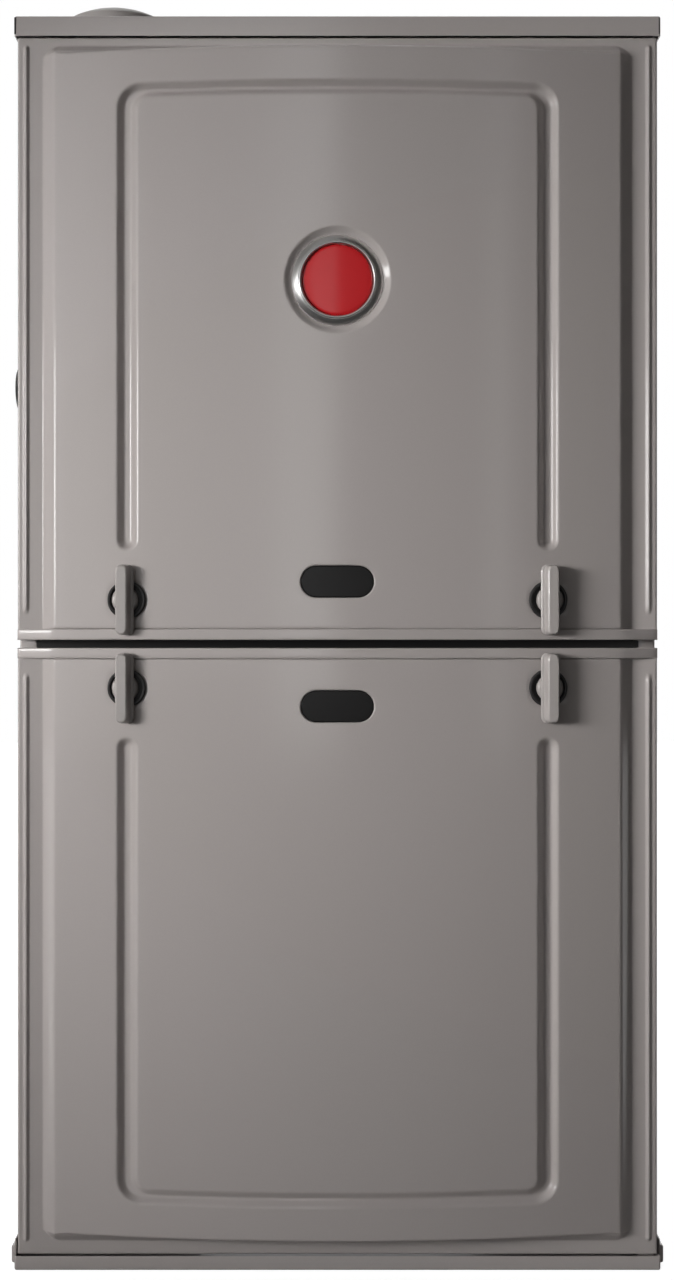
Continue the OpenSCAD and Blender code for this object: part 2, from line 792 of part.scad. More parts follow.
module blower_deck() color(galvanised) difference() {
  block([-inside, behind(channel_t), deck_z - sheet], [inside, back_y - sheet, deck_z]);
  block([-housing_x + sheet, blower_y, deck_z - sheet - 1],
    [housing_x - sheet, blower_y + scroll_r + scroll_growth - sheet, deck_z + 1]);
  translate([drain_x, drain_y, deck_z - sheet - 1]) cylinder(d = hose_d + 6, h = sheet + 2);
  translate([valve_x, valve_y, deck_z - sheet - 1]) cylinder(d = wire_d + 6, h = sheet + 2);
}

module vestibule_panel() color(galvanised) difference() {
  block([-inside, vest_y, deck_z], [inside, vest_y + sheet, cap_z]);
  for (x = tube_x) rod_y(x, inlet_z, vest_y - 1, vest_y + sheet + 1, tube_d + 0.2);
  for (x = coil_x) for (z = coil_rows) rod_y(x, z, vest_y - 1, vest_y + sheet + 1, coil_tube_d + 0.2);
  for (p = screw_places) rod_y(p[0], p[1], vest_y - 1, vest_y + sheet + 1, screw_d + 0.1);
}

module casing_insulation() color("#D9D6CC") difference() {
  y = vest_y + sheet;
  block([-inside, y, deck_z], [inside, back_y - sheet, cap_z]);
  block([-inside + insulation_t, y - 1, deck_z - 1],
    [inside - insulation_t, back_y - sheet - insulation_t, casing_h]);
}

// Turned about the X axis: a rim outside, a neck through the hole and a barb inside.
module side_plug() color(black) translate([-casing_w/2, behind(plug_back), plug_z]) rotate([0, -90, 0]) {
  rim_t = hem_t + lap + sheet - 0.2;
  cylinder(d = plug_d, h = rim_t - 1);
  cylinder(d = plug_d - 3, h = rim_t);
  translate([0, 0, -sheet - 4]) cylinder(d = 0.8*plug_d - 0.2, h = sheet + 4);
  translate([0, 0, -sheet - 4]) cylinder(d = 0.86*plug_d, h = 3.9);
}

// A plastic cap over the unused intake: a crowned shell and a skirt in the hole.
module intake_cap() {
  r = (dome_d*dome_d/4 + dome_crown*dome_crown)/(2*dome_crown);
  wall = 2;
  color("#77706C") translate([intake_x, behind(intake_back), casing_h]) difference() {
    union() {
      intersection() {
        cylinder(d = dome_d, h = dome_side + dome_crown);
        translate([0, 0, dome_side + dome_crown - r]) sphere(r = r, $fn = 96);
      }
      translate([0, 0, -12]) cylinder(d = intake_hole - 0.4, h = 12);
    }
    translate([0, 0, -13]) cylinder(d = intake_hole - 0.4 - 2*wall, h = 13 + dome_side - wall);
  }
}

// ---- vent ----

// The pipe hangs in the cap by its collar; its free end above that takes the vent.
module vent_pipe() color("#E4E2DC") translate([vent_x, vent_y, 0]) difference() {
  low = spigot_z + 2;
  union() {
    translate([0, 0, low]) cylinder(d = vent_d, h = casing_h + vent_rise - low);
    translate([0, 0, casing_h]) cylinder(d = vent_d + 2*vent_brim, h = vent_collar);
  }
  translate([0, 0, low - 1]) cylinder(d = vent_d - 2*vent_wall, h = casing_h + vent_rise - low + 2);
}

// A rubber sleeve over the spigot and the pipe, with its two clamps.
module vent_coupling() {
  z0 = inducer_z + drum_d/2 + 1;
  l = spigot_z + 2 + coupling_over - z0;
  color(black) translate([vent_x, vent_y, z0]) difference() {
    union() {
      cylinder(d = vent_d + 0.2 + 2*coupling_wall, h = l);
      for (z = [4, l - 12]) translate([0, 0, z]) cylinder(d = vent_d + 2*coupling_wall + 2.4, h = 8);
    }
    translate([0, 0, -1]) cylinder(d = vent_d + 0.2, h = l + 2);
  }
}

// ---- heat exchangers ----

drain_x = bank_x + coil_w/2 - 22;
drain_y = vest_y - collector_d/2;
coil_x = [for (i = [0:coil_n-1]) bank_x + (i - (coil_n-1)/2)*(coil_w - 40)/(coil_n-1)];
coil_rows = [coil_z + coil_h/4, coil_z + 3*coil_h/4];
header_low = coil_z;
header_high = inlet_z - 4*bend_r + tube_d/2 + 4;
screw_d = 4;
screw_places = [for (x = [-inside + 12, inside - 12]) for (k = [0:3])
  [x, deck_z + 20 + k*(cap_z - deck_z - 40)/3]];

// A serpentine of three passes: d is its diameter, over is how far the cut runs past its ends.
module serpentine(d, over) {
  rear = header_y;
  front = rear - middle_pass;
  third = inlet_z - 4*bend_r;
  rod_y(0, inlet_z, vest_y - over, rear, d);
  translate([0, rear, inlet_z - bend_r]) rotate([0, 90, 0])
    rotate_extrude(angle = 180) translate([bend_r, 0]) circle(d = d);
  rod_y(0, inlet_z - 2*bend_r, front, rear, d);
  mirror([0, 1, 0]) translate([0, -front, inlet_z - 3*bend_r]) rotate([0, 90, 0])
    rotate_extrude(angle = 180) translate([bend_r, 0]) circle(d = d);
  rod_y(0, third, front, rear + over, d);
}

module exchanger_tubes() color("#8F8D88") for (x = tube_x) translate([x, 0, 0]) difference() {
  serpentine(tube_d, 0);
  serpentine(tube_d - 2*tube_wall, 1);
}

module exchanger_header() color("#8F8D88") difference() {
  block([bank_x - coil_w/2, header_y, header_low], [bank_x + coil_w/2, header_y + header_d, header_high]);
  block([bank_x - coil_w/2 + 1.5, header_y + 1.5, header_low + 1.5],
    [bank_x + coil_w/2 - 1.5, header_y + header_d - 1.5, header_high - 1.5]);
  for (x = tube_x) rod_y(x, inlet_z - 4*bend_r, header_y - 1, header_y + 3, tube_d - 2*tube_wall);
  for (x = coil_x) for (z = coil_rows) rod_y(x, z, header_y - 1, header_y + 3, coil_tube_d - 2);
}

// Tubes from the header to the vestibule panel, with a stack of fins on them.
module secondary_coil() color("#A5A7A8") {
  for (x = coil_x) for (z = coil_rows) difference() {
    rod_y(x, z, vest_y, header_y, coil_tube_d);
    rod_y(x, z, vest_y - 1, header_y + 1, coil_tube_d - 2);
  }
  for (i = [0:fin_n-1]) translate([0, vest_y + 30 + i*(exchanger_l - 60)/(fin_n-1), 0])
    rotate([90, 0, 0]) linear_extrude(fin_t) difference() {
      translate([bank_x - coil_w/2, coil_z]) square([coil_w, coil_h]);
      for (x = coil_x) for (z = coil_rows) translate([x, z]) circle(d = coil_tube_d + 0.1);
    }
}

// ---- draft inducer ----

module collector_box() color("#2A2B2D") difference() {
  union() {
    block([bank_x - coil_w/2, collector_y, coil_z - 4], [bank_x + coil_w/2, vest_y, coil_z + coil_h + 4]);
    translate([drain_x, drain_y, coil_z - 16]) cylinder(d = hose_d, h = 14);
    rod_y(port_x, coil_z + coil_h - 12, collector_y - 10, collector_y + 1, 7);
  }
  block([bank_x - coil_w/2 + collector_wall, collector_y + collector_wall, coil_z - 4 + collector_wall],
    [bank_x + coil_w/2 - collector_wall, vest_y + 1, coil_z + coil_h + 4 - collector_wall]);
  rod_y(inducer_x, collector_in_z, collector_y - 1, collector_y + collector_wall + 1, ind_inlet_d);
  translate([drain_x, drain_y, coil_z - 17]) cylinder(d = hose_d - 6, h = 20);
  rod_y(port_x, coil_z + coil_h - 12, collector_y - 11, collector_y + 5, 4);
}
port_x = bank_x - 40;
collector_in_z = coil_z + coil_h/2 + 6;

// The drum and its outlet, which rises beside it into a round spigot.
module inducer_housing() color("#3A3B3E") difference() {
  union() {
    rod_y(inducer_x, inducer_z, drum_y, collector_y, drum_d);
    block([inducer_x, drum_y, inducer_z], [vent_x + vent_d/2, collector_y, inducer_z + drum_d/2]);
    translate([vent_x, vent_y, inducer_z + drum_d/2 - 1])
      cylinder(d = vent_d, h = spigot_rise - drum_d/2 + 1);
  }
  rod_y(inducer_x, inducer_z, drum_y + drum_wall, collector_y - drum_wall, drum_d - 2*drum_wall);
  block([inducer_x, drum_y + drum_wall, inducer_z + drum_wall],
    [vent_x + vent_d/2 - drum_wall, collector_y - drum_wall, inducer_z + drum_d/2 - drum_wall]);
  translate([vent_x, vent_y, inducer_z + drum_d/2 - drum_wall - 1])
    cylinder(d = vent_d - 2*vent_wall, h = spigot_rise);
  rod_y(inducer_x, inducer_z, drum_y - 1, drum_y + drum_wall + 1, 3*ind_shaft_d);
  rod_y(inducer_x, collector_in_z, collector_y - drum_wall - 1, collector_y + 1, ind_inlet_d);
}

// The motor stands off the drum on three posts, clear of the cooling fan.
module inducer_motor() color("#4B4D50") difference() {
  front = drum_y - fan_space - ind_motor_l;
  flange_d = fan_d + 24;
  post_r = flange_d/2 - 4;
  union() {
    rod_y(inducer_x, inducer_z, front, drum_y - fan_space, ind_motor_d);
    rod_y(inducer_x, inducer_z, drum_y - fan_space - 3, drum_y - fan_space, flange_d);
    for (a = [90, 210, 330])
      rod_y(inducer_x + post_r*cos(a), inducer_z + post_r*sin(a), drum_y - fan_space - 1, drum_y, 7);
  }
  rod_y(inducer_x, inducer_z, drum_y - fan_space - 20, drum_y, ind_shaft_d + 2*running);
}

// A shrouded impeller on its shaft.
module inducer_wheel() color(steel) {
  back = collector_y - drum_wall - 8;
  r = ind_wheel_d/2;
  rod_y(inducer_x, inducer_z, drum_y - fan_space - 19, back - 4, ind_shaft_d);
  rod_y(inducer_x, inducer_z, back - ind_wheel_w, back - ind_wheel_w + 2, ind_wheel_d);
  rod_y(inducer_x, inducer_z, back - ind_wheel_w, back - 6, 2*ind_shaft_d);
  for (k = [0:11]) translate([inducer_x, back, inducer_z]) rotate([0, 30*k, 0])
    translate([ind_shaft_d*0.9, -ind_wheel_w + 1, -1]) cube([r - ind_shaft_d, ind_wheel_w - 1, 2]);
}

module inducer_fan() color("#6B6D70") {
  y = drum_y - fan_space/2 - 3;
  difference() {
    union() {
      rod_y(inducer_x, inducer_z, y, y + 6, 3*ind_shaft_d);
      for (k = [0:7]) translate([inducer_x, y, inducer_z]) rotate([0, 45*k, 0])
        translate([ind_shaft_d, 1, -1]) cube([fan_d/2 - ind_shaft_d, 4, 2]);
    }
    rod_y(inducer_x, inducer_z, y - 1, y + 7, ind_shaft_d);
  }
}

module pressure_switch() color("#3C3F42") {
  rod_y(port_x, switch_mid, vest_y - 22, vest_y, 60);
  rod_y(port_x, switch_mid, vest_y - 28, vest_y - 22, 40);
  rod_y(port_x, switch_mid, vest_y - 40, vest_y - 28, 6);
}
switch_mid = coil_z + coil_h + 4 + 44;

// The sensing tube from the switch's port to the collector's.
module pressure_tube() color("#B8A58C") {
  y = vest_y - 40 - 0.2;
  z = coil_z + coil_h - 12;
  sweep([[port_x, y, switch_mid], [port_x, y - 14, switch_mid], [port_x, y - 14, z],
    [port_x, collector_y - 10.2, z]], 7, 6);
}

// ---- burners and gas train ----

module burner_box() color(galvanised) difference() {
  x0 = bank_x - box_w/2;
  x1 = bank_x + box_w/2;
  block([x0, box_y, inlet_z - box_h/2], [x1, vest_y, inlet_z + box_h/2]);
  block([x0 + box_t, box_y + box_t, inlet_z - box_h/2 + box_t],
    [x1 - box_t, vest_y + 1, inlet_z + box_h/2 - box_t]);
  for (x = tube_x) rod_y(x, inlet_z, box_y - 1, box_y + box_t + 1, spud_d + 2*free);
  rod_x(vest_y - 14, inlet_z, x0 - 1, x1 + 1, 9);
  translate([bank_x, vest_y - 60, inlet_z]) cylinder(d = 12, h = box_h);
}

// Inshot burners: a flared mouth, a venturi and a foot on the box's floor.
module burners() color("#9C9E9F") for (x = tube_x) {
  y0 = box_y + burner_front;
  floor_z = inlet_z - box_h/2 + box_t;
  difference() {
    union() {
      rod_y(x, inlet_z, y0, y0 + burner_l, burner_d);
      rod_y(x, inlet_z, y0, y0 + 8, burner_d + 8);
      block([x - 8, y0 + burner_l/3, floor_z], [x + 8, y0 + burner_l*2/3, inlet_z - burner_d/4]);
    }
    rod_y(x, inlet_z, y0 - 1, y0 + burner_l + 1, burner_d - 3);
  }
}

// The pipe across the burners, its spuds and its drop to the valve.
module gas_manifold() color("#6D6F72") {
  drop = inlet_z - valve_z - valve_h/2;
  x1 = tube_x[tube_n-1] + 20;
  rod_x(manifold_y, inlet_z, valve_x, x1, manifold_d);
  translate([valve_x, manifold_y, valve_z + valve_h/2]) cylinder(d = manifold_d, h = drop);
  translate([valve_x, manifold_y, inlet_z]) sphere(d = manifold_d + 8);
  rod_x(manifold_y, inlet_z, x1 - 12, x1 + 4, manifold_d + 6);
  for (x = tube_x) rod_y(x, inlet_z, manifold_y, box_y + box_t + 4, spud_d);
}

module gas_valve() color("#B9B6AE") {
  z0 = valve_z - valve_h/2;
  front = valve_y - valve_d/2;
  difference() {
    union() {
      block([valve_x - valve_w/2, front, z0], [valve_x + valve_w/2, front + valve_d, z0 + valve_h]);
      rod_x(valve_y, valve_z - 12, valve_x - valve_w/2 - 12, valve_x - valve_w/2, gas_in_d + 12);
      rod_y(valve_x + 18, valve_z - 22, front - 9, front, 22);
      translate([valve_x - 16, valve_y, z0 - 8]) cylinder(d = 16, h = 8);
    }
    rod_x(valve_y, valve_z - 12, valve_x - valve_w/2 - 13, valve_x - valve_w/2 + 10, gas_in_d);
    rod_y(valve_x, valve_z + 20, front - 1, front + 14, 8 + 2*running);
  }
}

// The knob that turns the gas on and off, on its stem in the valve.
module valve_knob() color("#2B4C8C") {
  front = valve_y - valve_d/2;
  rod_y(valve_x, valve_z + 20, front - free - knob_t + 4, front - free, knob_d);
  rod_y(valve_x, valve_z + 20, front - free, front + 13, 8);
  block([valve_x - 3, front - free - knob_t, valve_z + 20 - knob_d/2 + 1],
    [valve_x + 3, front - free - knob_t + 5, valve_z + 20 + knob_d/2 - 1]);
}

// The hot-surface igniter in the box's left wall: a ceramic block and its element.
module igniter() color("#D8D2C4") {
  x0 = bank_x - box_w/2;
  rod_x(vest_y - 14, inlet_z, x0 - 14, x0 + 12, 8.8);
  block([x0 - 3, vest_y - 23, inlet_z - 9], [x0, vest_y - 5, inlet_z + 9]);
  block([x0 + 11, vest_y - 15, inlet_z - 4], [tube_x[0] + 5, vest_y - 13, inlet_z + 4]);
}

module flame_sensor() color("#C9C5BB") {
  x1 = bank_x + box_w/2;
  rod_x(vest_y - 14, inlet_z, x1 - 12, x1 + 14, 8.8);
  block([x1, vest_y - 20, inlet_z - 8], [x1 + 2, vest_y - 8, inlet_z + 8]);
  rod_x(vest_y - 14, inlet_z, tube_x[tube_n-1] - 5, x1 - 11, 3);
}

rollout_z = inlet_z + box_h/2;
module rollout_switch() color("#3A3530") difference() {
  union() {
    block([bank_x - 18, vest_y - 70, rollout_z], [bank_x + 18, vest_y - 50, rollout_z + 1.5]);
    translate([bank_x, vest_y - 60, rollout_z - 6]) cylinder(d = 11.6, h = 18);
    translate([bank_x, vest_y - 60, rollout_z + 1]) cylinder(d = 19, h = 11);
  }
  translate([bank_x, vest_y - 60, rollout_z + 5]) cylinder(d = 6 + 2*running, h = 10);
}
module reset_button() color("#B03A2E") translate([bank_x, vest_y - 60, rollout_z + 7])
  cylinder(d = 6, h = 8);

module limit_switch() color("#4A4540") {
  x = bank_x + 60;
  z = inlet_z - box_h/2 - 40;
  block([x - 16, vest_y - 1.5, z - 22], [x + 16, vest_y, z + 22]);
  rod_y(x, z, vest_y - 13, vest_y - 1.5, 20);
  for (s = [-1, 1]) block([x + s*6 - 3, vest_y - 21, z - 0.5], [x + s*6 + 3, vest_y - 13, z + 0.5]);
}

module panel_screws() color(steel) for (p = screw_places) {
  rod_y(p[0], p[1], vest_y - 1.2, vest_y, 11);
  translate([p[0], vest_y, p[1]]) rotate([90, 0, 0]) cylinder(d = 8, h = 4.5, $fn = 6);
  rod_y(p[0], p[1], vest_y, vest_y + sheet, screw_d);
}

// ---- blower ----

// The scroll in side view, its radius growing evenly from the tongue; t moves it inwards.
function scroll(t) = [for (a = [0:9:270]) let (r = scroll_r + scroll_growth*a/270 - t)
  [-r*sin(a), r*cos(a)]];
module scroll_form(t, top) {
  r_end = scroll_r + scroll_growth - t;
  polygon(concat([[t, top]], [[t, scroll_r - t]], scroll(t), [[r_end, top]]));
}
// Side-view forms stand on the YZ plane at the blower's axis, from x = a to b.
module along_blower(a, b) {
  translate([a, blower_y, blower_z]) rotate([90, 0, 90]) linear_extrude(b - a) children();
}

module blower_housing() color(galvanised) difference() {
  along_blower(-housing_x, housing_x) scroll_form(0, outlet_h);
  along_blower(-housing_x + sheet, housing_x - sheet) scroll_form(sheet, outlet_h + 1);
  rod_x(blower_y, blower_z, -housing_x - 1, housing_x + 1, inlet_d);
}

// Forward-curved blades between two rims and a middle disc.
module blower_wheel() color("#9FA2A4") {
  a = -wheel_w/2;
  b = wheel_w/2;
  hub_a = a + 0.4*wheel_w;
  difference() {
    rod_x(blower_y, blower_z, hub_a, hub_a + 2, wheel_d - 2);
    rod_x(blower_y, blower_z, hub_a - 1, hub_a + 3, 30);
  }
  for (x = [a, b - 4]) difference() {
    rod_x(blower_y, blower_z, x, x + 4, wheel_d);
    rod_x(blower_y, blower_z, x - 1, x + 5, wheel_d - 2*blade);
  }
  difference() {
    rod_x(blower_y, blower_z, hub_a, hub_a + 22, 40);
    rod_x(blower_y, blower_z, hub_a - 1, hub_a + 23, shaft_d);
  }
  for (k = [0:blade_n-1]) translate([0, blower_y, blower_z]) rotate([360*k/blade_n, 0, 0])
    translate([a + 1, wheel_r - blade, -0.5]) rotate([20, 0, 0]) translate([0, 1, 0])
      cube([wheel_w - 2, blade*0.8, 1]);
}

module blower_shaft() color(steel)
  rod_x(blower_y, blower_z, -wheel_w*0.1 - 12, motor_x + 24, shaft_d);

module blower_motor() color("#26282B") difference() {
  union() {
    rod_x(blower_y, blower_z, motor_x, motor_x + motor_l, motor_d);
    rod_x(blower_y, blower_z, motor_x - 5, motor_x, motor_d*0.4);
    rod_x(blower_y, blower_z, motor_x + motor_l, motor_x + motor_l + 6, motor_d*0.86);
  }
  rod_x(blower_y, blower_z, motor_x - 6, motor_x + 25, shaft_d + 2*running);
}

// A band around the motor and three arms to the housing's side.
module motor_mount() color(steel) difference() {
  x0 = housing_x + motor_out - 6 - band_w;
  r = motor_d/2 + band_t/2;
  seat = inlet_d/2 + 4;
  union() {
    rod_x(blower_y, blower_z, x0, x0 + band_w, motor_d + 2*band_t);
    for (a = [30, 150, 270]) translate([0, blower_y, blower_z]) rotate([a, 0, 0]) {
      linear_extrude(band_t, center = true)
        polygon([[x0, r], [x0 + band_w, r], [x0 + band_w, r + 7], [housing_x + band_t, seat + 12],
          [housing_x, seat + 12], [housing_x, seat]]);
      block([housing_x, seat - 1, 0], [housing_x + band_t, seat + 13, 9]);
    }
  }
  rod_x(blower_y, blower_z, x0 - 1, x0 + band_w + 1, motor_d);
}

// ---- controls ----

// An upright tray that hangs from the centre rail's lower flange.
module control_tray() color("#2F3134") {
  x1 = tray_x + tray_w;
  difference() {
    union() {
      block([tray_x, tray_y, tray_z], [x1, tray_y + 1.5, rail_low]);
      block([tray_x, behind(4), rail_low - 1.5], [x1, tray_y + 1.5, rail_low]);
      for (x = [tray_x, x1 - 1.5]) block([x, behind(12), tray_z], [x + 1.5, tray_y, rail_low]);
    }
    rod_y(valve_x, plug_in_z, tray_y - 1, tray_y + 3, wire_d + 1);
  }
  for (x = [board_x + 8, board_x + board_w - 8]) for (z = [board_z + 8, board_z + board_h - 8])
    rod_y(x, z, tray_y - standoff, tray_y, 7);
}
board_in = 10;
board_low = 14;
board_x = tray_x + board_in;
board_z = tray_z + board_low;
plug_in_z = board_z + board_h + 12;

// The board carries relays along its top, a plug strip below, a fuse block and capacitors.
board_t = 1.6;
relay_w = 20;
relay_h = 26;
relay_t = 13;
relay_pitch = 30;
strip_in = 16;
strip_h = 10;
fuse_w = 20;
fuse_in = 26;
can_d = 12;
can_t = 11;
can_pitch = 22;
parts_z = board_z + 34;
module control_board() color("#1F6B3A") {
  y = tray_y - standoff;
  relays_z = board_z + board_h - relay_h - board_low;
  fuse_x = board_x + board_w - fuse_in - fuse_w;
  block([board_x, y - board_t, board_z], [board_x + board_w, y, board_z + board_h]);
  for (k = [0:3]) block([board_x + relay_w + k*relay_pitch, y - relay_t, relays_z],
    [board_x + 2*relay_w + k*relay_pitch, y - board_t, relays_z + relay_h]);
  block([board_x + strip_in, y - strip_h, board_z + 6],
    [board_x + board_w - strip_in, y - board_t, board_z + 6 + strip_h]);
  block([fuse_x, y - 6, parts_z], [fuse_x + fuse_w, y - board_t, parts_z + fuse_w]);
  for (k = [0:2])
    rod_y(board_x + relay_pitch + k*can_pitch, parts_z + 10, y - can_t, y - board_t, can_d);
}

// Beside the board: a core with its winding in front and a foot on each side.
core_h = 46;
core_t = 12;
coil_in = 10;
foot_w = 8;
module transformer() color("#8E8B86") {
  x = board_x + board_w + 24;
  z = tray_z + 30;
  block([x, tray_y - core_t, z], [x + trafo_w, tray_y, z + core_h]);
  block([x + coil_in, tray_y - core_t - 4, z + foot_w],
    [x + trafo_w - coil_in, tray_y - core_t, z + core_h - foot_w]);
  for (s = [0, 1]) block([x - foot_w + s*(trafo_w + foot_w), tray_y - 1.5, z + core_h/2 - 9],
    [x + s*(trafo_w + foot_w), tray_y, z + core_h/2 + 9]);
}

// The interlock behind the centre rail; its plunger meets the lower door's lip.
module door_switch() color(black) difference() {
  z0 = switch_z - switch_h + plunger_d/2 + 2;
  block([switch_x - 12, behind(channel_t), z0], [switch_x + 12, behind(channel_t + 22), z0 + switch_h]);
  rod_y(switch_x, switch_z, case_y, behind(channel_t + 16), plunger_d + 2*running);
}
module switch_plunger() color("#E8E4DA")
  rod_y(switch_x, switch_z, case_y, behind(channel_t + 16 - plunger_over - 1), plunger_d);

// The trap on the casing's right side, and the hose that feeds it.
trap_x = inside - trap_w;
module condensate_trap() color("#D7D3C8") difference() {
  union() {
    block([trap_x, trap_y, trap_z], [inside, trap_y + trap_l, trap_z + trap_h]);
    translate([trap_x + trap_w/2, port_y, trap_z + trap_h]) cylinder(d = hose_d, h = port_h);
    translate([trap_x + trap_w/2, outlet_y, trap_z - port_h]) cylinder(d = hose_d, h = port_h);
  }
  translate([trap_x + trap_w/2, port_y, trap_z + trap_h/6]) cylinder(d = hose_d - 6, h = trap_h);
  translate([trap_x + trap_w/2, outlet_y, trap_z - port_h - 1]) cylinder(d = hose_d - 6, h = trap_h/2);
}
port_y = trap_y + trap_port;
outlet_y = trap_y + trap_l - trap_port;
module drain_hose() color("#3A3A3A") {
  x = trap_x + trap_w/2;
  top = coil_z - 16.2;
  end = trap_z + trap_h + port_h + 0.2;
  sweep([[drain_x, drain_y, top], [drain_x, drain_y, top - 40], [x, port_y, end + 18], [x, port_y, end]],
    hose_d, 14);
}

// The wires from the valve down through the deck to the board's tray.
module wire_harness() color("#B7472A")
  sweep([[valve_x, valve_y, valve_z - valve_h/2 - 0.2], [valve_x, valve_y, plug_in_z],
    [valve_x, tray_y + 1.7, plug_in_z]], wire_d, 18);

casing_wrap();
top_panel();
base_pan();
center_rail();
blower_deck();
vestibule_panel();
casing_insulation();
side_plug();
intake_cap();
vent_pipe();
vent_coupling();
exchanger_tubes();
exchanger_header();
secondary_coil();
collector_box();
burner_box();
burners();
gas_manifold();
gas_valve();
igniter();
flame_sensor();
rollout_switch();
limit_switch();
inducer_housing();
inducer_motor();
pressure_switch();
pressure_tube();
blower_housing();
blower_motor();
motor_mount();
control_tray();
control_board();
transformer();
door_switch();
condensate_trap();
drain_hose();
wire_harness();
panel_screws();
blower_wheel();
blower_shaft();
inducer_wheel();
inducer_fan();
valve_knob();
switch_plunger();
reset_button();
upper_door();
upper_door_liner();
upper_door_rail();
upper_sight_glass();
badge_bezel();
badge_disc();
upper_latch_collars();
lower_door();
lower_door_rail();
lower_sight_glass();
lower_latch_collars();
upper_left_latch();
upper_right_latch();
lower_left_latch();
lower_right_latch();
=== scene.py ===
import json
import math

import bmesh
import bpy
from mathutils import Matrix, Vector


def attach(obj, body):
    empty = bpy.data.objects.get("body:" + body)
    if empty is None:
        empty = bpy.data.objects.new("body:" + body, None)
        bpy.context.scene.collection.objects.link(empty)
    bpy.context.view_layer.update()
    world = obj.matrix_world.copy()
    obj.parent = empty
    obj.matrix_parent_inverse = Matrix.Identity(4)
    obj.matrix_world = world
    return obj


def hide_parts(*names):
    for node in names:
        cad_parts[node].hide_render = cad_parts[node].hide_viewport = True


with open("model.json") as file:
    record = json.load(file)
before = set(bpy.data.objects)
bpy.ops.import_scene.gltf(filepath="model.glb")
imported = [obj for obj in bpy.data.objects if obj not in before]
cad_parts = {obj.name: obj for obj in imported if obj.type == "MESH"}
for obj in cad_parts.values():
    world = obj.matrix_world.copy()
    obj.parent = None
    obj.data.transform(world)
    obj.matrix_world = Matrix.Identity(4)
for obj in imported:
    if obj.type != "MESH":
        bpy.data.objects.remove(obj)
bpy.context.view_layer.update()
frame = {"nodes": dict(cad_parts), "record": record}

# ---- Studio: a camera in front at half height, a soft light on the left with its own glint, a
# ---- weak fill light, walls in light and dark bands for the doors to mirror, and a pale floor.
camera_data = bpy.data.cameras.new("camera")
camera_data.lens = 57.15
camera_data.sensor_width = 36
camera = bpy.data.objects.new("camera", camera_data)
camera.location = (-0.0003, -1.7459, 0.4339)
camera.rotation_euler = (math.radians(90), 0, 0)
bpy.context.scene.collection.objects.link(camera)
bpy.context.scene.camera = camera
bpy.context.scene.view_settings.view_transform = "Standard"


def soft_light(name, aim, azimuth, elevation, distance, width, height, power, spread=180):
    """a rectangular lamp that looks at a point of the cabinet"""
    lamp = bpy.data.lights.new(name, "AREA")
    lamp.shape = "RECTANGLE"
    lamp.size = width
    lamp.size_y = height
    lamp.energy = power
    lamp.spread = math.radians(spread)
    obj = bpy.data.objects.new(name, lamp)
    a, e = math.radians(azimuth), math.radians(elevation)
    away = Vector((math.sin(a)*math.cos(e), -math.cos(a)*math.cos(e), math.sin(e)))
    obj.location = Vector(aim) + away*distance
    obj.rotation_euler = away.to_track_quat("Z", "Y").to_euler()
    obj.visible_camera = False
    bpy.context.scene.collection.objects.link(obj)
    return obj


side_light = soft_light("side_light", (0.12, -0.35, 0.46), azimuth=-54, elevation=5, distance=3.0,
                        width=1.1, height=0.5, power=4.15, spread=34)
side_light.visible_glossy = False
glint_light = soft_light("glint_light", (0.12, -0.35, 0.50), azimuth=-54, elevation=5,
                         distance=3.0, width=1.1, height=0.5, power=16)
glint_light.visible_diffuse = False
soft_light("fill_light", (0, -0.1, 0.45), azimuth=-15, elevation=12, distance=2.8, width=1.4,
           height=1.4, power=1.8)


def add(tree, kind, **values):
    """a node with its plain inputs set; a value that is a socket is linked"""
    made = tree.nodes.new(kind)
    for key, value in values.items():
        if hasattr(made, key):
            setattr(made, key, value)
        else:
            socket = made.inputs[int(key[2:])] if key.startswith("in") and key[2:].isdigit() \
                else made.inputs[key.replace("_", " ")]
            if isinstance(value, bpy.types.NodeSocket):
                tree.links.new(value, socket)
            else:
                socket.default_value = value
    return made


def math_node(tree, operation, *terms, clamp=False):
    """what a math node makes of its terms, which are numbers or sockets"""
    given = {f"in{i}": term for i, term in enumerate(terms)}
    return add(tree, "ShaderNodeMath", operation=operation, use_clamp=clamp, **given).outputs[0]


def mapped(tree, value, low, high, start=0, end=1):
    """a value between low and high as one between start and end, and held there beyond"""
    return add(tree, "ShaderNodeMapRange", Value=value, From_Min=low, From_Max=high,
               To_Min=start, To_Max=end).outputs["Result"]


world = bpy.data.worlds.new("studio")
bpy.context.scene.world = world
world.use_nodes = True
tree = world.node_tree
way = add(tree, "ShaderNodeSeparateXYZ",
          in0=add(tree, "ShaderNodeTexCoord").outputs["Generated"]).outputs
forward = math_node(tree, "MULTIPLY", way["Y"], -1)
bearing = math_node(tree, "ARCTAN2", way["X"], forward)
tones = add(tree, "ShaderNodeValToRGB", Fac=mapped(tree, bearing, -math.pi, math.pi))
# in front the light falls off above and below, down to four tenths
steep = math_node(tree, "ABSOLUTE", way["Z"])
falloff = math_node(tree, "MULTIPLY", steep, mapped(tree, forward, -0.1, 0.4, 0, 1.1))
strength = math_node(tree, "SUBTRACT", 1, math_node(tree, "MINIMUM", falloff, 0.6))
# the camera itself sees plain white
to_camera = add(tree, "ShaderNodeLightPath").outputs["Is Camera Ray"]
whiter = add(tree, "ShaderNodeMix", data_type="RGBA", Factor=to_camera,
             A=tones.outputs["Color"], B=(1, 1, 1, 1))
sky = tree.nodes["Background"]
tree.links.new(math_node(tree, "MAXIMUM", to_camera, strength), sky.inputs["Strength"])
tree.links.new(whiter.outputs["Result"], sky.inputs["Color"])
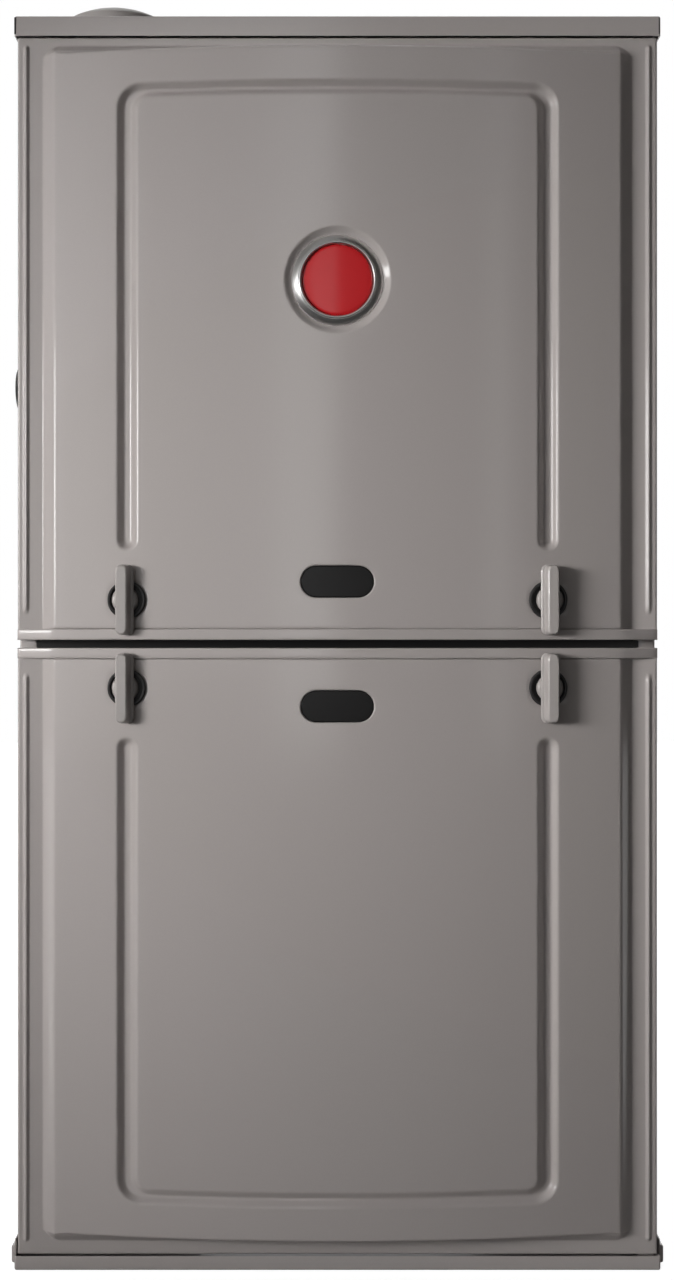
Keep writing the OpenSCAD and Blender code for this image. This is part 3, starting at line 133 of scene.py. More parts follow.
# how light the wall is at each bearing from the front, in degrees
wall_tones = [(-180, 1), (-150, 1), (-115, 0.5), (-80, 0.2), (-42, 0.5), (-33, 1.3), (-27, 0.4),
              (-20, 0.06), (-15, 0.06), (-13.5, 0.15), (-7.5, 0.3), (-6.5, 1.2), (-0.5, 1.1),
              (1, 0.05), (4, 0.05), (6, 0.12), (12, 0.1), (15.6, 0.04), (16.5, 0.8), (18.5, 0.8),
              (19.6, 0.04), (40, 0.06), (80, 0.05), (115, 0.15), (150, 1), (180, 1)]
while len(tones.color_ramp.elements) < len(wall_tones):
    tones.color_ramp.elements.new(0.5)
for element, (angle, tone) in zip(tones.color_ramp.elements, wall_tones):
    element.position = (angle + 180)/360
    element.color = (tone, tone**1.02, tone**1.04, 1)

bm = bmesh.new()
bmesh.ops.create_circle(bm, cap_ends=True, segments=96, radius=7)
floor_mesh = bpy.data.meshes.new("floor")
bm.to_mesh(floor_mesh)
bm.free()
floor = bpy.data.objects.new("floor", floor_mesh)
floor.location = (0, 0, -0.0005)
bpy.context.scene.collection.objects.link(floor)


def new_material(name, base, roughness, metallic=0.0):
    """a material with plain values, and its nodes for the rest"""
    made = bpy.data.materials.new(name)
    made.use_nodes = True
    shader = made.node_tree.nodes["Principled BSDF"]
    shader.inputs["Base Color"].default_value = (*base, 1)
    shader.inputs["Roughness"].default_value = roughness
    shader.inputs["Metallic"].default_value = metallic
    return made, made.node_tree, shader


# the floor is white to the camera and, from under the cabinet on, to what mirrors it; its own
# tone is darker near the camera
pale, tree, shader = new_material("pale_floor", (0.3, 0.3, 0.3), 0.9)
shader.inputs["Specular IOR Level"].default_value = 0.1
rays = add(tree, "ShaderNodeLightPath").outputs
depth = add(tree, "ShaderNodeSeparateXYZ",
            in0=add(tree, "ShaderNodeTexCoord").outputs["Object"]).outputs["Y"]
mirrored = math_node(tree, "ADD", rays["Is Glossy Ray"], rays["Is Transmission Ray"], clamp=True)
placed = math_node(tree, "MULTIPLY", mirrored, mapped(tree, depth, -0.33, -0.25))
seen = math_node(tree, "ADD", placed, rays["Is Camera Ray"], clamp=True)
floor_glow = 0.93
shader.inputs["Emission Color"].default_value = (1, 1, 1, 1)
tree.links.new(math_node(tree, "MULTIPLY", seen, floor_glow), shader.inputs["Emission Strength"])
tree.links.new(mapped(tree, depth, -0.5, -0.39, 0.1, 0.3), shader.inputs["Base Color"])
floor_mesh.materials.append(pale)

# ---- Casing: one sheet of 1.2 mm steel bent round the sides and back, with 12 mm flanges at
# ---- the front, painted satin metallic taupe.
sheet, flange = 1.2, 12
casing_half, case_front, case_back = 221, -331.6, 373.4
cap_low, cap_high = 862.4, 863.6


def finish_group(name, sockets):
    """a node group with its inputs, and a colour, roughness and normal to give"""
    group = bpy.data.node_groups.new(name, "ShaderNodeTree")
    for label, kind, value in sockets:
        made = group.interface.new_socket(label, in_out="INPUT", socket_type=kind)
        made.default_value = value
    for label, kind in (("Colour", "NodeSocketColor"), ("Roughness", "NodeSocketFloat"),
                        ("Normal", "NodeSocketVector")):
        group.interface.new_socket(label, in_out="OUTPUT", socket_type=kind)
    return group, group.nodes.new("NodeGroupInput").outputs


def fill_shader(tree, shader, group, values):
    """set the inputs of a finish group and lead what it gives into the shader"""
    fill = add(tree, "ShaderNodeGroup", node_tree=group)
    for label, value in values.items():
        fill.inputs[label].default_value = value
    for label, socket in (("Colour", "Base Color"), ("Roughness", "Roughness"),
                          ("Normal", "Normal")):
        tree.links.new(fill.outputs[label], shader.inputs[socket])


def surface_group():
    """tone drift over a large scale, fine grain in tone and roughness, and a fine bump"""
    group, given = finish_group("surface_grain", [
        ("Colour", "NodeSocketColor", (0.5, 0.5, 0.5, 1)), ("Drift", "NodeSocketFloat", 0.05),
        ("Grain", "NodeSocketFloat", 0.05), ("Scale", "NodeSocketFloat", 900.0),
        ("Roughness", "NodeSocketFloat", 0.4), ("Rough spread", "NodeSocketFloat", 0.05),
        ("Bump", "NodeSocketFloat", 0.1)])
    place = add(group, "ShaderNodeTexCoord").outputs["Object"]
    slow = add(group, "ShaderNodeTexNoise", Vector=place, Scale=5.0, Detail=3.0).outputs["Fac"]
    fine = add(group, "ShaderNodeTexNoise", Vector=place, Scale=given["Scale"],
               Detail=2.0).outputs["Fac"]
    drift = math_node(group, "MULTIPLY_ADD", slow, given["Drift"], 1.0)
    grain = math_node(group, "MULTIPLY_ADD", fine, given["Grain"], drift)
    both = math_node(group, "ADD", given["Drift"], given["Grain"])
    centre = math_node(group, "MULTIPLY_ADD", both, -0.5, grain)
    tint = add(group, "ShaderNodeVectorMath", operation="SCALE", in0=given["Colour"],
               Scale=centre)
    rough = math_node(group, "MULTIPLY_ADD", slow, given["Rough spread"], given["Roughness"])
    bump = add(group, "ShaderNodeBump", Strength=given["Bump"], Distance=0.0004, Height=fine)
    add(group, "NodeGroupOutput", Colour=tint.outputs[0], Roughness=rough,
        Normal=bump.outputs[0])
    return group


grain_group = surface_group()


def grained(name, base, roughness, metallic=0.0, drift=0.06, grain=0.06, scale=900.0,
            rough_spread=0.06, bump=0.15, coat=(), specular=0.5):
    """a material whose colour, roughness and relief come from the shared grain; a coat is its
    weight, roughness and IOR"""
    made, tree, shader = new_material(name, base, roughness, metallic)
    fill_shader(tree, shader, grain_group, {
        "Colour": (*base, 1), "Drift": drift, "Grain": grain, "Scale": scale,
        "Roughness": roughness, "Rough spread": rough_spread, "Bump": bump})
    shader.inputs["Specular IOR Level"].default_value = specular
    for label, value in zip(("Coat Weight", "Coat Roughness", "Coat IOR"), coat):
        shader.inputs[label].default_value = value
    return made


taupe = grained("cabinet_paint", (0.40, 0.364, 0.350), 0.5, 0.05, drift=0.03, grain=0.07,
                scale=1400.0, rough_spread=0.04, bump=0.03, coat=(1, 0.1, 1.55))


def finish_piece(name, bm, body, slot, finish, *replaced, sharp=35, wall=0.0):
    """the bmesh, in millimetres, becomes a piece that rides on its body"""
    bmesh.ops.scale(bm, vec=(0.001, 0.001, 0.001), verts=bm.verts)
    mesh = bpy.data.meshes.new(name)
    bm.to_mesh(mesh)
    bm.free()
    mesh.shade_smooth()
    mesh.set_sharp_from_angle(angle=math.radians(sharp))
    mesh.materials.append(finish)
    piece = bpy.data.objects.new(name, mesh)
    bpy.context.scene.collection.objects.link(piece)
    if wall:
        thick = piece.modifiers.new("wall", "SOLIDIFY")
        thick.thickness = wall/1000
        thick.offset = -1
    even = piece.modifiers.new("even", "WEIGHTED_NORMAL")
    even.keep_sharp = True
    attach(piece, body)
    if replaced:
        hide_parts(*replaced)


def sized_box(low, high):
    """a box from its lowest corner to its highest"""
    bm = bmesh.new()
    bmesh.ops.create_cube(bm, size=1)
    low, high = Vector(low), Vector(high)
    bmesh.ops.scale(bm, vec=high - low, verts=bm.verts)
    bmesh.ops.translate(bm, vec=(low + high)/2, verts=bm.verts)
    return bm


def cut(bm, normal, *levels):
    """cut every face at these levels along one axis"""
    for level in levels:
        bmesh.ops.bisect_plane(bm, geom=bm.verts[:] + bm.edges[:] + bm.faces[:],
                               plane_co=Vector(normal)*level, plane_no=normal)


def drop_faces(bm, test):
    """take out the faces whose middle and normal pass the test"""
    bmesh.ops.delete(bm, geom=[f for f in bm.faces if test(f.calc_center_median(), f.normal)],
                     context="FACES")


def drop_stray(bm):
    """take out the edges and vertices that no face uses"""
    bmesh.ops.delete(bm, geom=[e for e in bm.edges if not e.link_faces], context="EDGES")
    bmesh.ops.delete(bm, geom=[v for v in bm.verts if not v.link_edges], context="VERTS")


def round_edges(bm, test, radius, segments=3):
    """round the edges whose middle and direction pass the test"""
    picked = [e for e in bm.edges if len(e.link_faces) == 2
              and test((e.verts[0].co + e.verts[1].co)/2,
                       (e.verts[0].co - e.verts[1].co).normalized())]
    bmesh.ops.bevel(bm, geom=picked, offset=radius, offset_type="OFFSET", segments=segments,
                    profile=0.5, affect="EDGES", material=-1)


flange_edge = casing_half - flange
bm = sized_box((-casing_half, case_front, sheet), (casing_half, case_back, cap_low))
bm.normal_update()
drop_faces(bm, lambda c, n: abs(n.z) > 0.9)
round_edges(bm, lambda c, d: abs(d.z) > 0.9, radius=1.8)
cut(bm, (1, 0, 0), -flange_edge, flange_edge)
bm.normal_update()
drop_faces(bm, lambda c, n: n.y < -0.9 and abs(c.x) < flange_edge)
drop_stray(bm)
finish_piece("casing_wrap", bm, "casing", "cabinet_paint", taupe, "casing_wrap", wall=sheet)

# ---- Cap: the folded steel lid of the casing, its skirt in front of the door's top, with the
# ---- supply opening and its duct flanges, and holes for the vent and the intake.
skirt_half, brow, skirt_back, skirt_low = 222.5, -347.4, 374.9, 849.9
vent_place, vent_radius = Vector((131, -183.25, 0)), 30.15
intake_place, intake_hole = Vector((-158.5, -289.6, 0)), 30
supply_half, supply_front, supply_rear, duct_flange = 196.2, -79.0, 353.4, 20


def verts_in(geom):
    """the vertices among what an operator gives back"""
    return [g for g in geom if isinstance(g, bmesh.types.BMVert)]


def open_rim(bm, test):
    """the open edges whose two ends pass the test"""
    return [e for e in bm.edges if e.is_boundary and all(test(v.co) for v in e.verts)]


def round_opening(bm, middle, radius, half=38):
    """open a square patch of the flat top and lead it into a round hole"""
    cut(bm, (1, 0, 0), middle.x - half, middle.x + half)
    cut(bm, (0, 1, 0), middle.y - half, middle.y + half)
    bm.normal_update()

    def within(c):
        return abs(c.x - middle.x) < half + 0.01 and abs(c.y - middle.y) < half + 0.01 \
            and abs(c.z - cap_high) < 0.01

    drop_faces(bm, lambda c, n: within(c))
    bmesh.ops.subdivide_edges(bm, edges=open_rim(bm, within), cuts=11)
    made = bmesh.ops.extrude_edge_only(bm, edges=open_rim(bm, within))["geom"]
    for v in verts_in(made):
        out = Vector((v.co.x - middle.x, v.co.y - middle.y, 0))
        v.co = Vector((middle.x, middle.y, v.co.z)) + out.normalized()*radius


def in_supply(c):
    """whether a point lies over the supply opening"""
    return abs(c.x) < supply_half + 0.01 and supply_front - 0.01 < c.y < supply_rear + 0.01


bm = sized_box((-skirt_half, brow, skirt_low), (skirt_half, skirt_back, cap_high))
bm.normal_update()
drop_faces(bm, lambda c, n: n.z < -0.9)
round_edges(bm, lambda c, d: True, radius=1.6)
cut(bm, (1, 0, 0), -supply_half, supply_half)
cut(bm, (0, 1, 0), supply_front, supply_rear)
bm.normal_update()
drop_faces(bm, lambda c, n: n.z > 0.9 and in_supply(c))
rim = open_rim(bm, lambda c: in_supply(c) and c.z > cap_low)
made = bmesh.ops.extrude_edge_only(bm, edges=rim)["geom"]
bmesh.ops.translate(bm, vec=(0, 0, duct_flange), verts=verts_in(made))
round_opening(bm, vent_place, vent_radius + 0.3)
round_opening(bm, intake_place, intake_hole)
drop_stray(bm)
bmesh.ops.recalc_face_normals(bm, faces=bm.faces)
finish_piece("cap", bm, "casing", "cabinet_paint", taupe, "top_panel", wall=sheet)

# ---- Base pan: folded steel under the casing, low at the front below the lower door, with the
# ---- return opening in its floor and rolled hems along both sides.
pan_high, lip_high, lip_back = 20.7, 9.7, brow + 4
return_half, return_front, return_rear = 190, -166.6, 313.4
bm = sized_box((-skirt_half, brow, 0), (skirt_half, skirt_back, pan_high))
bm.normal_update()
drop_faces(bm, lambda c, n: n.z > 0.9)
round_edges(bm, lambda c, d: True, radius=1.4)
cut(bm, (0, 0, 1), lip_high)
cut(bm, (0, 1, 0), lip_back, return_front, return_rear)
cut(bm, (1, 0, 0), -return_half, return_half)
bm.normal_update()
drop_faces(bm, lambda c, n: (c.z > lip_high and c.y < lip_back)
           or (n.z < -0.9 and abs(c.x) < return_half and return_front < c.y < return_rear))
drop_stray(bm)
finish_piece("base_pan", bm, "casing", "cabinet_paint", taupe, "base_pan", wall=sheet)


def joined(*pieces):
    """several meshes as one"""
    whole = bmesh.new()
    for piece in pieces:
        mesh = bpy.data.meshes.new("part")
        piece.to_mesh(mesh)
        piece.free()
        whole.from_mesh(mesh)
        bpy.data.meshes.remove(mesh)
    return whole


def side_hem(side):
    """the hem of the left side (-1) or the right one (1)"""
    near, far = sorted((side*skirt_half, side*(skirt_half + 3.6)))
    hem = sized_box((near, brow + 10, 2), (far, skirt_back, 14.5))
    round_edges(hem, lambda c, d: side*c.x > skirt_half + 1, radius=1.7, segments=4)
    return hem


finish_piece("side_hems", joined(side_hem(-1), side_hem(1)), "casing", "cabinet_paint", taupe)

# ---- Doors: each is one pressed sheet with folded edges. A bowed panel stands up from the
# ---- flat margin, with a groove round three sides of it and a bead on each margin.
# ---- v is the distance from the seam edge, and end the v of the panel's far end.
upper_seam, lower_seam = 433.95, 428.45
door_places = (("upper", upper_seam, 1), ("lower", lower_seam, -1))
door_front, door_half, door_depth, fold = -345.9, 220.4, 14.0, 1.5
crest_x, foot_x, bow_radius, bow_height = 193.0, 203.4, 946.0, 28.0
near_wall, near_round, groove_drop = 7.45, 1.2, 29.4
far_wall, far_low, far_slope = 5.6, 7.2, 6.3
latch_x, latch_v = 143.3, 27.2
window_w, window_h, window_v = 49.5, 21.6, 39.4
badge_v, recess_r, recess_depth = 243.4, 35.75, 3.5
latch_patch, window_patch = (126.3, 160.3, 10.2, 44.2), (-36, 36, 23.4, 55.4)
recess_patch = (-44, 44, 199.4, 287.4)


def along(start, *spans):
    """positions from the start on: each span runs to its end in steps of about one size, and
    the last end is left out"""
    places = []
    for end, step in spans:
        n = max(1, round(abs(end - start)/step))
        places += [start + (end - start)*i/n for i in range(n)]
        start = end
    return places


def swell(u):
    """a soft rise from 0 to 1"""
    return (1 - math.cos(math.pi*min(max(u, 0), 1)))/2


def ramp(u):
    """a straight slope from 1 at u = 0 to 0 at u = 1, rounded above and a little below"""
    steepness, crown, foot = 1.2346, 0.3, 0.92
    u = min(max(u, 0), 1)
    if u < crown:
        return 1 - steepness*u*u/(2*crown)
    if u < foot:
        return 1 - steepness*(u - crown/2)
    return steepness*(1 - u)**2/(2*(1 - foot))


def bowed(x):
    """how far the panel's face stands in front of the margin"""
    return bow_height - bow_radius + math.sqrt(bow_radius**2 - min(abs(x), crest_x + 20)**2)


def folded(edge, inward):
    """the path of a folded edge: over the bend, back, and in behind it as a lip"""
    turns = [math.radians(a) for a in (22.5, 45, 67.5, 90)]
    path = [(edge + inward*(fold - fold*math.sin(a)), fold - fold*math.cos(a)) for a in turns]
    path += [(edge, 7.0), (edge, door_depth - fold)]
    path += [(edge + inward*(fold - fold*math.cos(a)), door_depth - fold + fold*math.sin(a))
             for a in turns]
    return path + [(edge + inward*10, door_depth)]


def inside_of(x, v, half, top, r):
    """how far a point lies inside an outline that is open below and rounded above"""
    dx, dv = abs(x) - half + r, v - top + r
    return r - math.hypot(dx, dv) if dx > 0 and dv > 0 else r - max(dx, dv)


def groove(x, v, end):
    """how far the pressed groove lies below the panel"""
    outer_half, inner_half, half_width, leg_end, depth = 150.3, 136.3, 7, 68.2, 4.5
    top = end - groove_drop
    deep = min(inside_of(x, v, outer_half, top, 16.6), -inside_of(x, v, inner_half, top - 9.8, 8))
    if v < leg_end:
        deep = half_width - math.hypot(abs(x) - latch_x, v - leg_end)
    return depth*swell((deep + 0.7)/5.95)


def bead(x, v, end):
    """how far the rolled bead stands up from the margin"""
    bead_x, start, height, half_width = 214.4, 21.4, 1.5, 2.5
    off = math.hypot(abs(x) - bead_x, max(0, start - v, v - end + 1))
    return height*(1 + math.cos(math.pi*min(off/half_width, 1)))/2


def panel(x, v, end):
    """how far the face stands in front of the margin, between the panel's two ends"""
    side = (abs(x) - crest_x)/(foot_x - crest_x)
    return bowed(x)*ramp(side) - groove(x, v, end) + bead(x, v, end)


def door_rows(height, end):
    """rows from the seam edge on: (kind, v or how far along, how far back or down)"""
    rows = [("flat", v, back) for v, back in reversed(folded(0, 1))]
    rows += [("flat", 3, 0), ("flat", 4.9, 0)]
    rows += [("near", v, -1.3) for v in (5, 6.2, near_wall - 0.1)]
    rows += [("near", near_wall + near_round*(1 - math.cos(a)), -near_round*(1 - math.sin(a)))
             for a in (math.radians(t) for t in (0, 25, 50, 90))]
    top = end - groove_drop
    rows += [("panel", v, 0) for v in along(
        latch_patch[2], (window_patch[2], 2.2), (latch_patch[3], 2.08), (window_patch[3], 2.2),
        (60, 2.3), (77, 0.9), (recess_patch[2], 7), (recess_patch[3], 4), (top - 20, 7),
        (top + 2.5, 0.9), (end - 9.5, 3))]
    rows += [("curl", math.radians(t), 0) for t in (90, 65, 40, 18, 0)]
    rows += [("wall", k, 0) for k in (0.7, 0.35)]
    rows += [("slope", k/10, 0) for k in range(11)]
    rows += [("flat", end + 1.6, 0)]
    rows += [("flat", v, 0) for v in along(end + 2.6, (height - fold, 1.5))]
    rows += [("flat", height - fold, 0)]
    return rows + [("flat", v, back) for v, back in folded(height, -1)]


def door_columns():
    """columns from the left edge to the right one: (x, how far back)"""
    half = along(0, (recess_patch[1], 4), (latch_patch[0], 7), (152.3, 0.95), (latch_patch[1], 2),
                 (189, 5), (crest_x, 1), (204.2, 0.56), (211.4, 1.35), (door_half - fold, 0.6))
    half = [(x, 0) for x in half + [door_half - fold]] + folded(door_half, -1)
    return [(-x, back) for x, back in reversed(half[1:])] + half


def door_point(x, row, end):
    """the v, the stand and the set-back of the door's face where a row passes x"""
    kind, at, extra = row
    v, set_back = at, 0
    wall_v, wall_lean, corner, corner_high = end - far_wall, 0.3, 13, 8.7
    side_slope = foot_x - crest_x
    side = max(0, (abs(x) - crest_x)/side_slope)
    face = bowed(x)
    curl = min(2.2, max(face - far_low - 0.2, 0.3))
    if kind == "flat":
        stand, set_back = 0, extra
    elif kind == "near":
        stand = (face + extra)*ramp(side)
    elif kind == "panel":
        stand = panel(x, v, end) - bead(x, v, end)
    elif kind == "curl":
        v = wall_v - wall_lean - curl*(1 - math.cos(at))
        stand = (face - curl*(1 - math.sin(at)))*ramp(side)
    elif kind == "wall":
        v = wall_v - wall_lean*at
        stand = (far_low + (face - curl - far_low)*at)*ramp(side)
    else:
        v = wall_v + far_slope*at
        stand = min(far_low*ramp(at), face*ramp(side))
    across, beyond = abs(x) - foot_x + corner, v - wall_v - far_slope + corner
    if across > 0 and beyond > 0:
        out = math.hypot(across, beyond)
        slope = far_slope + (side_slope - far_slope)*(across/out)**2
        stand = min(stand, corner_high*ramp(1 - (corner - out)/slope))
    return v, max(stand, 0), set_back


def face_front(bm, near):
    """turn all faces round if the one nearest this point looks back"""
    bm.normal_update()
    probe = min(bm.faces, key=lambda f: (f.calc_center_median() - Vector(near)).length)
    if probe.normal.y > 0:
        bmesh.ops.reverse_faces(bm, faces=bm.faces)


def round_aim(cx, cv, r):
    """leads a point out to a circle"""
    def aim(at):
        out = (at - Vector((cx, cv))).normalized()
        return Vector((cx, cv)) + out*r, out
    return aim


def window_aim(at):
    """leads a point out to the window's oblong"""
    straight = (window_w - window_h)/2
    core = Vector((min(max(at.x, -straight), straight), window_v))
    out = (at - core).normalized()
    return core + out*window_h/2, out


def open_patch(bm, end, patch, aim, profile, floor_level=None):
    """clear a rectangle and lead its rim, ring by ring, into a round or oblong edge; a ring is
    (share of the way, offset, how far sunk), and with a floor level the last is the share of
    the way down to it"""
    x0, x1, v0, v1 = patch

    def held(c):
        return x0 - 0.01 < c.x < x1 + 0.01 and v0 - 0.01 < c.z < v1 + 0.01 and c.y < 0

    drop_faces(bm, lambda c, n: held(c))
    rim = open_rim(bm, held)
    for share, offset, sunk in profile:
        made = bmesh.ops.extrude_edge_only(bm, edges=rim)["geom"]
        verts = set(verts_in(made))
        rim = [g for g in made if isinstance(g, bmesh.types.BMEdge)
               and all(v in verts for v in g.verts)]
        for v in verts_in(made):
            at = Vector((v.co.x, v.co.z))
            goal, out = aim(at)
            place = at.lerp(goal + out*offset, share)
            level = panel(place.x, place.y, end)
            drop = sunk if floor_level is None else (level - floor_level)*sunk
            v.co = (place.x, drop - level, place.y)
    return rim


def door_skin(name, height, end, base, up):
    """the pressed sheet of one door"""
    columns, rows = door_columns(), door_rows(height, end)
    bm = bmesh.new()
    bmesh.ops.create_grid(bm, x_segments=len(columns) - 1, y_segments=len(rows) - 1, size=1)
    for vert in bm.verts:
        x, back_x = columns[round((vert.co.x + 1)/2*(len(columns) - 1))]
        v, out, back_v = door_point(x, rows[round((vert.co.y + 1)/2*(len(rows) - 1))], end)
        if not back_v and not back_x:
            out += bead(x, v, end)
        if back_x <= fold and back_v <= fold:
            back = fold - (fold - back_x)*(fold - back_v)/fold
        else:
            back = max(back_x, back_v)
        vert.co = (x, back - out, v)
    bm.normal_update()

    def unwanted(c, n):
        """what doubles up where the side folds and the end folds meet"""
        beside, at_end = abs(c.x) > door_half - 11, c.z < 10.5 or c.z > height - 10.5
        lip = c.y > door_depth - fold + 0.05 and abs(c.x) > door_half - 10.01 and not at_end
        if not (c.y > fold and beside and at_end) or lip:
            return False
        if abs(n.x) > 0.9 and abs(c.x) > door_half - 0.01:
            return False
        return abs(n.z) <= 0.9 or 0.01 <= c.z <= height - 0.01

    drop_faces(bm, unwanted)
    lead = [(1/4, 0, 0), (1/3, 0, 0), (1/2, 1.4, 0)]
    x0, x1, v0, v1 = latch_patch
    for patch, centre_x in (((-x1, -x0, v0, v1), -latch_x), ((x0, x1, v0, v1), latch_x)):
        open_patch(bm, end, patch, round_aim(centre_x, latch_v, 13.05),
                   lead + [(1, 0, 0.3), (1, 0, 3)])
    open_patch(bm, end, window_patch, window_aim,
               lead + [(1, 1.1, 0), (1, 0.6, 0.12), (1, 0.15, 0.5), (1, 0, 1.1), (1, 0, 4)])
    if up > 0:
        dish = [(1.2, 0.0), (0.5, 0.03), (-0.3, 0.14), (-1.2, 0.34), (-2.4, 0.62), (-3.6, 0.86),
                (-4.8, 0.98), (-6.2, 1), (-20, 1), (-32, 1)]
        rim = open_patch(bm, end, recess_patch, round_aim(0, badge_v, recess_r),
                         [(1/3, 1.5, 0), (1/2, 1.5, 0)] + [(1, r, share) for r, share in dish],
                         bow_height - recess_depth)
        bmesh.ops.holes_fill(bm, edges=rim, sides=0)
    drop_stray(bm)
    for v in bm.verts:
        v.co = (v.co.x, door_front + v.co.y, base + up*v.co.z)
    face_front(bm, (100, -370, base + up*150))
    finish_piece(name, bm, name, "cabinet_paint", taupe, name, sharp=60, wall=sheet)


door_skin("upper_door", 415.15, 408.35, upper_seam, 1)
door_skin("lower_door", 417.95, 407.45, lower_seam, -1)

# ---- Door rails: a hollow folded bar along each door's seam edge, bowed with the panel and
# ---- sloping down to the corners.
rail_path = [(0.6, 30), (0.25, 3), (0.08, 1.0), (0, 0.7), (0.2, 0.25), (0.7, 0), (2.5, 0),
             (4.7, 0), (6.5, 0), (7.0, 0.25), (7.2, 0.7), (7.15, 1.0), (7.0, 3), (6.6, 30)]
rail_rise, rail_run, blend = 18, 51.8, 0.25
across = [-door_half, -217, -213]
across += along(-209, (-198, 3), (-191, 0.5), (191, 8), (198, 0.5), (209, 3))
across += [209, 213, 217, door_half]
for door, base, up in door_places:
    bm = bmesh.new()
    bmesh.ops.create_grid(bm, x_segments=len(across) - 1, y_segments=len(rail_path) - 1, size=1)
    for vert in bm.verts:
        x = across[round((vert.co.x + 1)/2*(len(across) - 1))]
        v, inset = rail_path[round((vert.co.y + 1)/2*(len(rail_path) - 1))]
        slope, arch = (door_half - abs(x))*rail_rise/rail_run, bowed(x) + 1
        k = max(blend - abs(slope - arch), 0)/blend
        out = min(slope, arch) - blend*k*k/4
        vert.co = (x, door_front - max(out - inset, -0.2 - 0.1*v), base + up*v)
    face_front(bm, (0, -380, base + up*3.6))
    finish_piece(door + "_door_rail", bm, door + "_door", "cabinet_paint", taupe,
                 door + "_door_rail", sharp=70, wall=0.8)

# ---- Sight windows: an oblong pane of dark smoked plastic in each door, to look in at the
# ---- flame above and the controls below. It is pushed through the skin from behind.
pane_back, pane_thick = 20.2, 7
smoked = grained("window", (0.010, 0.0095, 0.0095), 0.12, scale=300.0, bump=0.02,
                 rough_spread=0.04, specular=0.25)
for door, base, up in door_places:
    bm = bmesh.new()
    bmesh.ops.create_circle(bm, cap_ends=True, segments=64, radius=window_h/2 - 0.15)
    for v in bm.verts:
        v.co.x += math.copysign((window_w - window_h)/2, v.co.x) if abs(v.co.x) > 1e-4 else 0
    made = bmesh.ops.extrude_face_region(bm, geom=bm.faces[:])["geom"]
    bmesh.ops.translate(bm, vec=(0, 0, pane_thick), verts=verts_in(made))
    bmesh.ops.recalc_face_normals(bm, faces=bm.faces)
    round_edges(bm, lambda c, d: c.z > pane_thick - 0.1, radius=0.8, segments=4)
    bmesh.ops.rotate(bm, matrix=Matrix.Rotation(math.radians(90), 3, "X"), verts=bm.verts)
    bmesh.ops.translate(bm, vec=(0, door_front - pane_back, base + up*window_v), verts=bm.verts)
    finish_piece(door + "_sight_glass", bm, door + "_door", "window", smoked,
                 door + "_sight_glass")


# ---- Badge: a bare domed disc of red enamel in a rounded chrome bezel, on the floor of the
# ---- round recess.


def turned(profile, centre, axis="Y", steps=72):
    """a profile of (radius, height) spun about an axis; height runs towards -Y, +Z or -X"""
    bm = bmesh.new()
    verts = [bm.verts.new((r, 0, h)) for r, h in profile]
    for a, b in zip(verts, verts[1:]):
        bm.edges.new((a, b))
    bmesh.ops.spin(bm, geom=bm.verts[:] + bm.edges[:], cent=(0, 0, 0), axis=(0, 0, 1),
                   angle=math.tau, steps=steps, use_merge=True, use_duplicate=False)
    bmesh.ops.remove_doubles(bm, verts=bm.verts, dist=0.0005)
    bmesh.ops.recalc_face_normals(bm, faces=bm.faces)
    if axis == "Y":
        bmesh.ops.rotate(bm, matrix=Matrix.Rotation(math.radians(90), 3, "X"), verts=bm.verts)
    elif axis == "X":
        bmesh.ops.rotate(bm, matrix=Matrix.Rotation(math.radians(-90), 3, "Y"), verts=bm.verts)
    bmesh.ops.translate(bm, vec=centre, verts=bm.verts)
    return bm


def arc(cx, cy, r, start, end, n):
    """points on an arc, in degrees"""
    return [(cx + r*math.cos(math.radians(start + (end - start)*i/n)),
             cy + r*math.sin(math.radians(start + (end - start)*i/n))) for i in range(n + 1)]


chrome = grained("chrome", (0.88, 0.87, 0.855), 0.28, 1.0, drift=0.02, grain=0.02, scale=500.0,
                 rough_spread=0.03, bump=0.01)
red = grained("badge_red", (0.52, 0.008, 0.012), 0.25, drift=0.08, grain=0.05, scale=1800.0,
              bump=0.02, coat=(0.5, 0.06))
badge_place = (0, door_front - bow_height + recess_depth, upper_seam + badge_v)
bezel = [(30.9, 0), (30.9, 0.4), (29.8, 1.2), (28.4, 2.2), (27.0, 3.0)]
bezel += arc(25.5, 3.05, 1.1, 0, 180, 10) + [(24.4, 0), (30.9, 0)]
finish_piece("badge_bezel", turned(bezel, badge_place, steps=96), "upper_door", "chrome", chrome,
             "badge_bezel", sharp=60)
disc = [(0, 2.95), (5, 2.93), (10, 2.83), (15, 2.66), (19, 2.46), (22, 2.26), (23, 2.1),
        (23.7, 1.8), (24.1, 1.3), (24.1, 0), (0, 0)]
finish_piece("badge_disc", turned(disc, badge_place, steps=96), "upper_door", "badge_red", red,
             "badge_disc")

# ---- Latches: black collars pressed into the doors; in each a moulded hub with a tapered grip
# ---- bar, set a little outward and leaning, and behind the door its spindle and wing.
matt_black = grained("black_plastic", (0.022, 0.021, 0.021), 0.42, scale=1200.0, bump=0.12)
latch_paint = grained("latch_plastic", (0.375, 0.345, 0.33), 0.48, 0.05, drift=0.03, grain=0.08,
                      scale=1400.0, bump=0.05, coat=(1, 0.12, 1.6))
collar_front, collar_radius, collar_bore = 20.6, 13, 11.05
hub_front, hub_back, hub_radius, hub_round = 20.8, 16.1, 9.3, 3
spindle_radius, wing_back, wing_front = 3, 19.7, 16.7
latch_shift, grip_lean = 1.2, 0.3
collar = [(collar_bore, hub_back - 0.3), (collar_bore, collar_front - 0.5),
          (11.2, collar_front - 0.15), (11.6, collar_front), (12.3, collar_front),
          (12.8, collar_front - 0.25), (collar_radius, collar_front - 0.8),
          (collar_radius, hub_back - 2.3), (4.4, hub_back - 2.3), (4.4, hub_back - 0.3),
          (collar_bore, hub_back - 0.3)]
